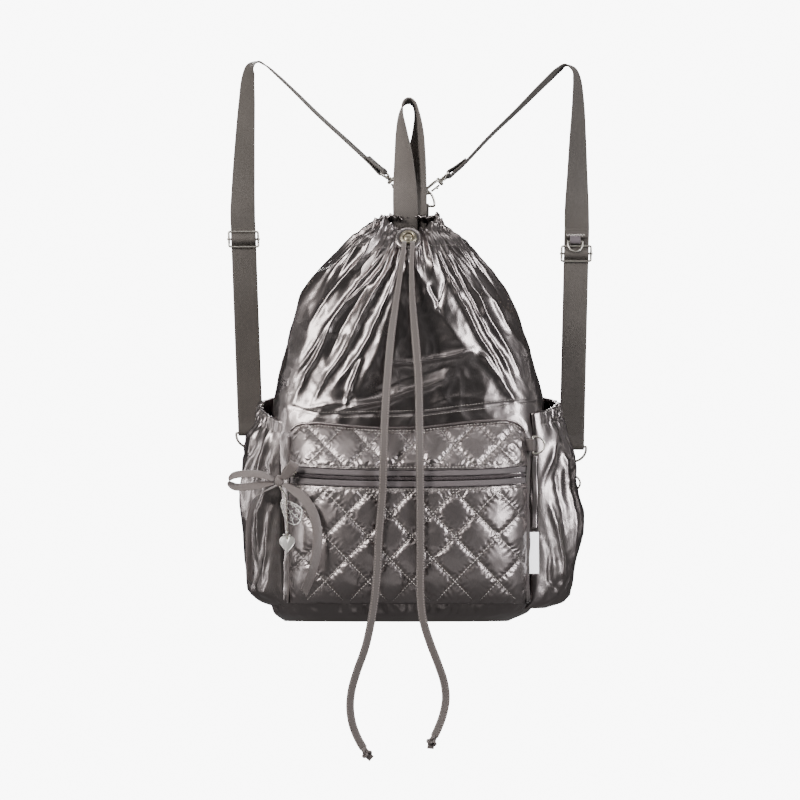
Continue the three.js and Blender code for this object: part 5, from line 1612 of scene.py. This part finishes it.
def make_drawcords():
    """The drawcord's two flat sewn tails, each with a knot at its end."""
    for side, rows in CORD_ROWS.items():
        line = smooth_line(rows, 260)
        share = np.linspace(0, 1, len(line))
        along = unit(np.gradient(line, axis=0))
        across = unit(np.cross(along, np.array([0, 1.0, 0])))
        across = np.where(across[:, :1] < 0, -across, across)
        turn = 0.28 * np.sin(5.5 * share + CORD_TURN[side]) * smoothstep(0.04, 0.2, share)
        normal = unit(np.cross(along, across))
        across = across * np.cos(turn)[:, None] + normal * np.sin(turn)[:, None]
        pinched = 1 - 0.4 * smoothstep(0.22, 0.03, share)
        cord = Form().sweep(flat_section(CORD["width"], CORD["thick"]), line, across, widths=pinched).piece(
            f"drawcord_{side}_tail", "cord", "drawcord", stands_for=[f"drawcord_{side}"])
        knot = cord_knot(side, line[-1], along[-1])


def cord_knot(side, end, along):
    """An overhand knot in a flat cord, with its short cut end below."""
    centre = end + along * (KNOT_LENGTH / 2 + GAP)
    across = unit(np.cross(along, (0, 1.0, 0)))
    out = unit(np.cross(across, along))
    t = np.linspace(0, 2 * np.pi, 60, endpoint=False)[:, None]
    trefoil = (across * (np.sin(t) + 1.5 * np.sin(2 * t)) * 1.75
               + along * (np.cos(t) - 1.5 * np.cos(2 * t)) * 1.5 - out * np.sin(3 * t) * 1.5)
    knot = Form().sweep(flat_section(4.6, 2.2), centre + trefoil, out, closed=True)
    knot.ball(centre, (4.0, 2.4, 3.8), 8, 14)
    knot.sweep(flat_section(6.4, 2.4), np.array([end - along * 1.0, centre]), across)
    tail = [centre + along * 1.5, centre + along * 5.2 + across, centre + along * 7.6 + across * 1.8]
    knot.sweep(flat_section(6.8, 2.0), smooth_line(tail, 12), across)
    return knot.piece(f"cord_knot_{side}_tie", "cord", "drawcord", stands_for=[f"cord_knot_{side}"])


def eyelet_frame():
    """The eyelet's middle on the bag's wall and the way straight out of it."""
    z = np.array([EYELET["at"][1] - 4, EYELET["at"][1] + 4])
    rows = read(BAG, z)
    y, up = rows["y"] - rows["half_depth"], z - rows["lip"] / 2
    lean = math.atan2(y[1] - y[0], up[1] - up[0])
    return cad_middle("eyelet"), np.array([0, -math.cos(lean), math.sin(lean)])


def make_eyelet():
    """The brass eyelet and its inner washer, on a round patch that is stitched to the bag."""
    centre, out = eyelet_frame()
    hole, rim = EYELET["hole"], EYELET["rim"]
    profile = [(hole - 0.1, -1.6), (hole, 0.2), (hole + 0.7, 0.95), (hole + 1.7, 1.05), (rim - 0.9, 0.5),
               (rim, -0.3), (rim - 0.1, -0.75), (rim - 0.8, -0.8), (hole + 0.9, -0.7), (hole + 0.7, -1.6)]
    cup = [(0.2, 0.55), (2.2, 0.4), (3.9, -0.1), (hole - 0.3, -0.9), (hole - 0.3, -1.5), (0.2, -1.5)]
    brass = Form().barrel(profile, centre, out, 56, closed=True).barrel(cup, centre, out, 40)
    brass.piece("eyelet_brass", "brass", "old_brass", stands_for=["eyelet"], crease=60)
    radii = [(rim - 2.2, -1.0), (rim + 1.5, -0.95), (13.0, -1.5), (13.8, -2.3), (13.2, -3.0),
             (rim - 2.2, -2.2)]
    Form().barrel(radii, centre, out, 64, closed=True).piece("eyelet_patch", "shell", "shell")
    side = np.array([1.0, 0, 0])
    ring = circle(centre, side, np.cross(out, side), 11.6, 90, closed=False) - out * 1.0
    Form().stitches(ring, out, PATCH_STITCH).piece("eyelet_patch_stitches", "thread", "shell")


def on_knot(direction):
    """The point just off the bow's knot on one side of it."""
    direction = unit(np.asarray(direction, float))
    reach = 1 / np.linalg.norm(direction / np.array(BOW["half"]))
    return np.array(BOW["at"]) + direction * (reach + 2 * GAP)


def make_bow():
    """The ribbon bow: two loops, two tails and the knot that holds them."""
    section = flat_section(RIBBON["width"], RIBBON["thick"])
    from_middle = section[:, 0]
    for name, ribbon in RIBBONS.items():
        is_loop = "returns" in ribbon
        route = [on_knot(ribbon["leaves"]), *ribbon["rows"]]
        if is_loop:
            route.append(on_knot(ribbon["returns"]))
        line = smooth_line(route, 90)
        share = np.linspace(0, 1, len(line))
        pinch = 0.55 + 0.45 * smoothstep(0, 0.16, share) * (smoothstep(1, 0.84, share) if is_loop else 1)
        cup = 0.5 * np.sin(share * 9)[:, None] * (from_middle / (RIBBON["width"] / 2)) ** 2
        cut = 0.0 if is_loop else smoothstep(0.93, 1, share)[:, None] * from_middle * 0.55
        band = Form().sweep(section, line, ribbon["across"], widths=pinch, raised=cup, slid=cut)
        band.piece(f"{name}_ribbon", "ribbon", "ribbon", stands_for=[name])
    angle = np.linspace(-np.pi / 2, np.pi / 2, 26)[1:-1, None]
    turn = np.linspace(0, 2 * np.pi, 48, endpoint=False)
    gather = np.cos(angle) ** 0.7 * (1 + 0.07 * np.cos(7 * turn + 2 * angle) * np.cos(angle)) * 0.93
    points = np.broadcast_arrays(gather * np.cos(turn), gather * np.sin(turn), np.sin(angle) * 0.97)
    points = np.array(BOW["at"]) + np.stack(points, -1) * np.array(BOW["half"])
    Form().grid(points, wrapped=True, capped=True).piece(
        "bow_knot_ribbon", "ribbon", "ribbon", stands_for=["bow_knot"])


def make_charm():
    """The charm on the zipper's pull: a ball chain, a puffed heart and a pierced lace fan."""
    line = smooth_line([on_knot(CHAIN_LEAVES), *CHAIN_ROWS], 27)
    chain = Form()
    for bead in line:
        chain.ball(bead, (1.05, 1.05, 1.05), 6, 10)
    chain.sweep(round_section(0.35, 6), line, (1, 0, 0))
    chain.piece("charm_ball_chain", "nickel", "nickel", stands_for=["charm_chain"])

    angle = np.linspace(0, 2 * np.pi, 72, endpoint=False)
    across = np.sin(angle) ** 3 * CHARM["width"] / 2
    up = 13 * np.cos(angle) - 5 * np.cos(2 * angle) - 2 * np.cos(3 * angle) - np.cos(4 * angle)
    up = up * CHARM["height"] / 29
    middle = CHARM["heart_top"] - CHARM["height"] * 0.42
    rings = [np.stack([CHARM["x"] + across * grow, np.full_like(across, CHARM["y"] - depth * 0.85),
                       middle + (up + 0.8) * grow - 0.8], -1) for grow, depth in HEART_RINGS]
    heart = Form().grid(np.array(rings), wrapped=True, capped=True)
    hanger = np.array([CHARM["x"], CHARM["y"] - 0.6, CHARM["heart_top"] - 2.6])
    hanger = circle(hanger, (1, 0, 0), (0, 0.25, 1), 2.0, 24)
    heart.sweep(round_section(0.45, 8), hanger, (0, 1, 0), closed=True)
    for x, z in ((-3.4, 3.2), (2.6, 2.6), (-0.6, 5.4)):
        heart.ball((CHARM["x"] + x, CHARM["y"] - 1.6, CHARM["heart_top"] + z - 2), (1.1, 1.1, 1.1), 6, 10)
    heart.piece("heart_charm_silver", "silver", "silver", stands_for=["heart_charm"], crease=45)
    make_lace()


def make_lace():
    """A pierced fan of scrolls and beads inside a scalloped rim."""
    outline = np.array(LACE_OUTLINE, float)
    y = LACE["y"] + LACE["thick"] / 2
    rim = corners_cut(np.stack([outline[:, 0], np.full(len(outline), y), outline[:, 1]], 1), True)
    lace = Form().sweep(round_section(0.55, 8), rim, (0, 1, 0), closed=True)
    edge = spaced(np.concatenate([rim, rim[:1]]), 60)
    root = np.array([-125.5, y, -394.5])
    for i in range(LACE["ribs"]):
        tip = edge[int(8 + (i + 0.5) / LACE["ribs"] * 44)]
        run = tip - root
        side = unit(np.cross(run, (0, 1.0, 0)))
        bow = 1.6 if i % 2 else -1.6
        rib = smooth_line([root, root + run * 0.45 + side * bow, root + run * 0.97], 16)
        lace.sweep(round_section(0.36, 6), rib, (0, 1, 0))
        scroll = circle(root + run * 0.78, (1, 0, 0), (0, 0, 1), 1.5, 16)
        lace.sweep(round_section(0.32, 6), scroll, (0, 1, 0), closed=True)
        lace.ball(tip, (0.95, 0.7, 0.95), 5, 8)
        lace.ball(root + run * 0.55, (0.7, 0.6, 0.7), 5, 8)
    lace.piece("lace_motif_silver", "silver", "nickel", stands_for=["lace_motif"])


def make_side_trim():
    """The rings, tabs and bare label at the right side, and the ring on the right strap."""
    for name, ring, pull, width, length in (("seam_ring", SEAM_RING, (-0.94, 0.34, 0), 12, 8),
                                            ("side_ring", SIDE_RING, (-0.97, -0.25, 0), 16, 24)):
        make_ring(name, ring, (0, 0, 1), (1, 0, 0), name)
        make_tab(f"{name}_tab", "piping", ring["at"], ring["wire"], (0, 0, 1), pull, width, length)
    make_strap_ring()

    z = np.linspace(-424.5, -351, 40)
    strip = np.stack([125.6 + 0.5 * np.sin(z / 8), -44.6 - 0.5 * np.sin(z / 5.3), z], 1)
    Form().sweep(flat_section(5.4, 1.5), strip, (1, 0.25, 0)).piece("side_seam_strip", "shell", "shell")
    make_label()


def make_strap_ring():
    """The right strap's sewn hem, with the small ring and its tab just under it."""
    make_ring("strap_ring", STRAP_RING, (1, 0, 0), (0, -0.43, -0.9), "strap_ring")
    hem = STRAP_HEM
    z = np.linspace(hem["foot"], hem["top"], 8)
    middle = np.stack([np.full_like(z, hem["x"]), np.full_like(z, hem["y"]), z], 1)
    Form().sweep(flat_section(hem["width"], 1.1), middle, (1, -0.06, 0)).piece(
        "strap_hem", "webbing", "webbing")
    half, count = hem["width"] / 2 - 2, 15
    places = np.stack([hem["x"] + np.linspace(-half, half, count), np.full(count, hem["y"] - 0.75),
                       hem["sewn"] + 1.1 * (-1.0) ** np.arange(count)], 1)
    zigzag = Form()
    for start, end in zip(places[:-1], places[1:]):
        zigzag.sweep(round_section(0.38, 5), np.array([start, end]), (0, 1, 0))
    zigzag.piece("strap_hem_zigzag", "thread", "webbing")
    wrap = np.array(STRAP_RING["at"]) + np.pad(np.array(STRAP_TAB_WRAP), ((0, 0), (1, 0)))
    Form().sweep(flat_section(10.5, 1.0), smooth_line(wrap, 60), (1, 0, 0)).piece(
        "strap_ring_tab_cloth", "ring_tab", "strap_ring_tab", stands_for=["strap_ring_tab"])


def make_label():
    """The bare woven label, slightly curled."""
    turn = math.radians(LABEL["turn"])
    along = np.array([math.cos(turn), math.sin(turn), 0])
    out = np.array([math.sin(turn), -math.cos(turn), 0])
    share, climb = np.meshgrid(np.linspace(0, 1, 22), np.linspace(0, 1, 40))
    z = LABEL["foot"] + (LABEL["top"] - LABEL["foot"]) * climb
    curl = 0.2 + 0.5 * np.sin(share * 2.6) + 0.35 * share * np.sin(climb * 5 + 1)
    base = np.array([LABEL["x"], LABEL["y"], 0])
    face = base + along * (share * LABEL["width"])[..., None] + out * curl[..., None]
    face[..., 2] += z
    flat = np.stack([share * LABEL["width"], z], -1)
    Form().wall(face + out * 0.35, face - out * 0.35, np.concatenate([flat, flat[:, ::-1]], 1)).piece(
        "side_label_weave", "label", "label", stands_for=["side_label"])


def make_camera():
    """The camera, straight in front of the object as the photograph is."""
    lens = CAMERA["distance"] / CAMERA["frame"] * CAMERA["sensor"]
    data = bpy.data.cameras.new("camera")
    data.lens, data.sensor_width = lens, CAMERA["sensor"]
    data.clip_end = 100
    camera = bpy.data.objects.new("camera", data)
    x, z = photo_place([(CAMERA["x"], CAMERA["y"])])[0] * MM
    camera.location = (x, -CAMERA["distance"], z)
    camera.rotation_euler = (math.pi / 2, 0, 0)
    bpy.context.scene.collection.objects.link(camera)
    bpy.context.scene.camera = camera


WHITE = (1.0, 1.0, 1.0)
# Each light's name, place, what it is aimed at, its size across and up, its watts and its colour.
LIGHTS = [
    ("key_softbox", (-1.7, -1.5, 0.9), (0, 0, -0.35), (0.55, 1.5), 84, (1.0, 0.98, 0.96)),
    ("fill_softbox", (1.8, -1.2, 0.3), (0, 0, -0.35), (0.36, 1.5), 58, (0.97, 0.98, 1.0)),
    ("front_top_softbox", (-0.2, -1.5, 1.25), (0, 0, -0.35), (1.1, 0.16), 2.5, WHITE),
    ("low_softbox", (0.1, -2.4, -1.5), (0, 0, -0.45), (1.8, 0.3), 2, WHITE),
    ("top_softbox", (0.1, 0.3, 1.5), (0, 0, -0.3), (1.2, 0.5), 12, WHITE),
    ("left_side_softbox", (-2.2, -0.25, -0.3), (0, 0, -0.35), (0.14, 1.1), 9, WHITE),
    ("left_edge_softbox", (-2.0, 0.7, -0.1), (0, 0, -0.35), (0.08, 1.2), 1.5, WHITE),
    ("right_edge_softbox", (2.0, 0.7, -0.1), (0, 0, -0.35), (0.08, 1.2), 1.5, WHITE),
    ("back_softbox", (-0.35, 2.4, 1.0), (0, 0, -0.35), (0.6, 1.2), 70, WHITE),
]
# The floor: its height and radius, in metres, and how strongly it glows.
FLOOR_Z = -1.35
FLOOR_RADIUS = 4.0
FLOOR_GLOW = 4.5


def make_stage(colours):
    """The pale floor, the soft lights and the world."""
    disc = bpy.data.meshes.new("floor")
    work = bmesh.new()
    bmesh.ops.create_circle(work, cap_ends=True, segments=96, radius=FLOOR_RADIUS)
    work.to_mesh(disc)
    work.free()
    floor = bpy.data.objects.new("floor", disc)
    floor.location.z = FLOOR_Z
    bpy.context.scene.collection.objects.link(floor)
    shader = Shader("pale_floor", base_color=colours.floor, roughness=0.8, emission_color=colours.floor,
                    emission_strength=FLOOR_GLOW)
    disc.materials.append(shader.material)
    floor.visible_glossy = floor.visible_diffuse = False

    for name, place, aim, size, watts, colour in LIGHTS:
        data = bpy.data.lights.new(name, "AREA")
        data.shape, data.size, data.size_y = "RECTANGLE", *size
        data.energy, data.color = watts, colour
        light = bpy.data.objects.new(name, data)
        light.location = place
        light.rotation_mode = "QUATERNION"
        light.rotation_quaternion = (Vector(aim) - Vector(place)).to_track_quat("-Z", "Y")
        bpy.context.scene.collection.objects.link(light)
    make_world(colours)


def make_world(colours):
    """A pale world. What the cloth mirrors glows high up and at the sides, and low down like a pale floor."""
    world = bpy.data.worlds.new("studio")
    world.use_nodes = True
    nodes = Nodes(world.node_tree)
    place = nodes.node("ShaderNodeTexCoord", out="Generated")
    side, up = (nodes.node("ShaderNodeSeparateXYZ", {}, {0: place}, out) for out in ("X", "Z"))
    high = (side.absolute() * 0.35 + up).between(0.15, 1.3)
    strength = high * (colours.world_high - colours.world_low) + colours.world_low
    strength = strength + up.between(0.06, -0.45) * colours.world_floor
    mirrored = nodes.node("ShaderNodeBackground", {}, {"Strength": strength})
    seen = nodes.node("ShaderNodeBackground", {}, {"Strength": colours.backdrop})
    camera_ray = nodes.node("ShaderNodeLightPath", out="Is Camera Ray")
    both = nodes.node("ShaderNodeMixShader", {}, {0: camera_ray, 1: mirrored, 2: seen})
    nodes.feed(nodes.tree.nodes.new("ShaderNodeOutputWorld").inputs["Surface"], both)
    bpy.context.scene.world = world


def colour_property(name, description, default):
    """A colour in the sidebar."""
    return bpy.props.FloatVectorProperty(name=name, description=description, default=default, size=3, min=0,
                                         max=1, subtype="COLOR")


def light_property(name, description, default):
    """A light level in the sidebar."""
    return bpy.props.FloatProperty(name=name, description=description, default=default, min=0)


class BackpackSizes(bpy.types.PropertyGroup):
    """The sizes that a user would change."""

    crumple: bpy.props.FloatProperty(
        name="Crumple", description="How deep the cloth's folds are, where 1 is as photographed", default=1.0,
        min=0, max=2, subtype="FACTOR")
    puff: bpy.props.FloatProperty(
        name="Quilt puff", description="How far a quilted diamond stands out", default=0.0024, min=0,
        max=0.006, unit="LENGTH")


class BackpackColours(bpy.types.PropertyGroup):
    """The colours and light levels that a user would change."""

    shell: colour_property("Shell", "Crinkled metallic nylon", (0.26, 0.23, 0.226))
    quilt: colour_property("Quilting", "Quilted metallic nylon", (0.33, 0.29, 0.286))
    webbing: colour_property("Straps", "Shoulder strap webbing", srgb(86, 81, 77))
    loop: colour_property("Haul loop", "Haul loop webbing", srgb(104, 98, 94))
    cord: colour_property("Drawcord", "Flat sewn drawcord", srgb(92, 84, 81))
    ribbon: colour_property("Ribbon", "Ribbon of the bow", srgb(104, 95, 92))
    tape: colour_property("Zipper tape", "Cloth of the zipper", srgb(98, 90, 91))
    coil: colour_property("Zipper coil", "Nylon coil of the zipper", srgb(88, 78, 80))
    thread: colour_property("Thread", "Topstitching thread", srgb(222, 214, 209))
    # This colour is also the dark strip painted as shadow at the front pocket's left edge.
    binding: colour_property("Binding", "Binding of the pocket's side seams", srgb(82, 74, 72))
    ring_tab: colour_property("Ring tab", "Tab of the strap's ring", srgb(96, 88, 92))
    nickel: colour_property("Nickel", "Rings, hooks and sliders", (0.62, 0.585, 0.53))
    silver: colour_property("Silver", "Charm", (0.92, 0.9, 0.86))
    brass: colour_property("Old brass", "Eyelet", (0.34, 0.3, 0.23))
    label: colour_property("Label", "Bare woven label", srgb(250, 250, 253))
    floor: colour_property("Floor", "Pale floor", (0.96, 0.96, 0.96))
    backdrop: light_property("Backdrop", "Brightness behind the object", 11.0)
    world_floor: light_property("Light from the floor", "Soft light that the floor throws up", 0.22)
    world_low: light_property("Light from the front", "Soft light from level with the bag", 0.036)
    world_high: light_property("Light from above", "Soft light from high up", 0.27)


def with_finishes(context):
    """The sizes in the sidebar, once the finishes are made."""
    if not MATERIALS:
        make_materials(context.scene.backpack_colours)
    return context.scene.backpack_sizes


class BACKPACK_OT_camera(bpy.types.Operator):
    """Set the camera in front of the bag"""

    bl_idname = "backpack.camera"
    bl_label = "Camera"

    def execute(self, context):
        make_camera()
        return {"FINISHED"}


class BACKPACK_OT_drawcords(bpy.types.Operator):
    """Make the drawcord's two tails and their knots"""

    bl_idname = "backpack.drawcords"
    bl_label = "Drawcords"

    def execute(self, context):
        with_finishes(context)
        make_drawcords()
        return {"FINISHED"}


class BACKPACK_OT_shell(bpy.types.Operator):
    """Make the crinkled bag with its gathered mouth"""

    bl_idname = "backpack.shell"
    bl_label = "Bag shell"

    def execute(self, context):
        make_bag_shell(with_finishes(context))
        return {"FINISHED"}


class BACKPACK_OT_front_pocket(bpy.types.Operator):
    """Make the quilted front pocket"""

    bl_idname = "backpack.front_pocket"
    bl_label = "Front pocket"

    def execute(self, context):
        make_front_pocket(with_finishes(context))
        return {"FINISHED"}


class BACKPACK_OT_zipper(bpy.types.Operator):
    """Make the zipper with its slider"""

    bl_idname = "backpack.zipper"
    bl_label = "Zipper"

    def execute(self, context):
        with_finishes(context)
        make_zipper()
        return {"FINISHED"}


class BACKPACK_OT_side_pockets(bpy.types.Operator):
    """Make the two elastic side pockets"""

    bl_idname = "backpack.side_pockets"
    bl_label = "Side pockets"

    def execute(self, context):
        sizes = with_finishes(context)
        make_side_pocket(LEFT, -1, sizes)
        make_side_pocket(RIGHT, 1, sizes)
        return {"FINISHED"}


class BACKPACK_OT_haul_loop(bpy.types.Operator):
    """Make the haul loop and the ring behind it"""

    bl_idname = "backpack.haul_loop"
    bl_label = "Haul loop"

    def execute(self, context):
        with_finishes(context)
        make_haul_loop()
        make_back_ring()
        return {"FINISHED"}


class BACKPACK_OT_straps(bpy.types.Operator):
    """Make the shoulder straps with their sliders, hooks and foot rings"""

    bl_idname = "backpack.straps"
    bl_label = "Shoulder straps"

    def execute(self, context):
        with_finishes(context)
        for side in STRAPS:
            make_strap(side)
            make_snap_hook(side)
        make_strap_feet()
        return {"FINISHED"}


class BACKPACK_OT_eyelet(bpy.types.Operator):
    """Make the eyelet that the drawcord comes out of"""

    bl_idname = "backpack.eyelet"
    bl_label = "Eyelet"

    def execute(self, context):
        with_finishes(context)
        make_eyelet()
        return {"FINISHED"}


class BACKPACK_OT_bow(bpy.types.Operator):
    """Make the ribbon bow on the zipper's pull"""

    bl_idname = "backpack.bow"
    bl_label = "Bow"

    def execute(self, context):
        with_finishes(context)
        make_bow()
        return {"FINISHED"}


class BACKPACK_OT_charm(bpy.types.Operator):
    """Make the heart charm with its chain and lace fan"""

    bl_idname = "backpack.charm"
    bl_label = "Charm"

    def execute(self, context):
        with_finishes(context)
        make_charm()
        return {"FINISHED"}


class BACKPACK_OT_side_trim(bpy.types.Operator):
    """Make the side rings, their tabs and the bare label"""

    bl_idname = "backpack.side_trim"
    bl_label = "Side trim"

    def execute(self, context):
        with_finishes(context)
        make_side_trim()
        return {"FINISHED"}


class BACKPACK_OT_stage(bpy.types.Operator):
    """Make the floor, the soft lights and the world"""

    bl_idname = "backpack.stage"
    bl_label = "Stage"

    def execute(self, context):
        make_stage(context.scene.backpack_colours)
        return {"FINISHED"}


OPERATORS = (
    BACKPACK_OT_camera,
    BACKPACK_OT_drawcords,
    BACKPACK_OT_shell,
    BACKPACK_OT_front_pocket,
    BACKPACK_OT_zipper,
    BACKPACK_OT_side_pockets,
    BACKPACK_OT_haul_loop,
    BACKPACK_OT_straps,
    BACKPACK_OT_eyelet,
    BACKPACK_OT_bow,
    BACKPACK_OT_charm,
    BACKPACK_OT_side_trim,
    BACKPACK_OT_stage,
)


class BACKPACK_PT_panel(bpy.types.Panel):
    """Lists the backpack's sizes, colours and pieces"""

    bl_idname = "BACKPACK_PT_panel"
    bl_label = "Quilted backpack"
    bl_space_type = "VIEW_3D"
    bl_region_type = "UI"
    bl_category = "Backpack"

    def draw(self, context):
        for group in (context.scene.backpack_sizes, context.scene.backpack_colours):
            box = self.layout.box()
            for name in group.__annotations__:
                box.prop(group, name)
        for operator in OPERATORS:
            self.layout.operator(operator.bl_idname)


def register():
    for made in (BackpackSizes, BackpackColours, *OPERATORS, BACKPACK_PT_panel):
        bpy.utils.register_class(made)
    bpy.types.Scene.backpack_sizes = bpy.props.PointerProperty(type=BackpackSizes)
    bpy.types.Scene.backpack_colours = bpy.props.PointerProperty(type=BackpackColours)


def unregister():
    del bpy.types.Scene.backpack_sizes
    del bpy.types.Scene.backpack_colours
    for made in reversed((BackpackSizes, BackpackColours, *OPERATORS, BACKPACK_PT_panel)):
        bpy.utils.unregister_class(made)


def main():
    """Makes every piece."""
    register()
    for operator in OPERATORS:
        getattr(bpy.ops.backpack, operator.bl_idname.split(".")[1])()


if __name__ == "__main__":
    main()
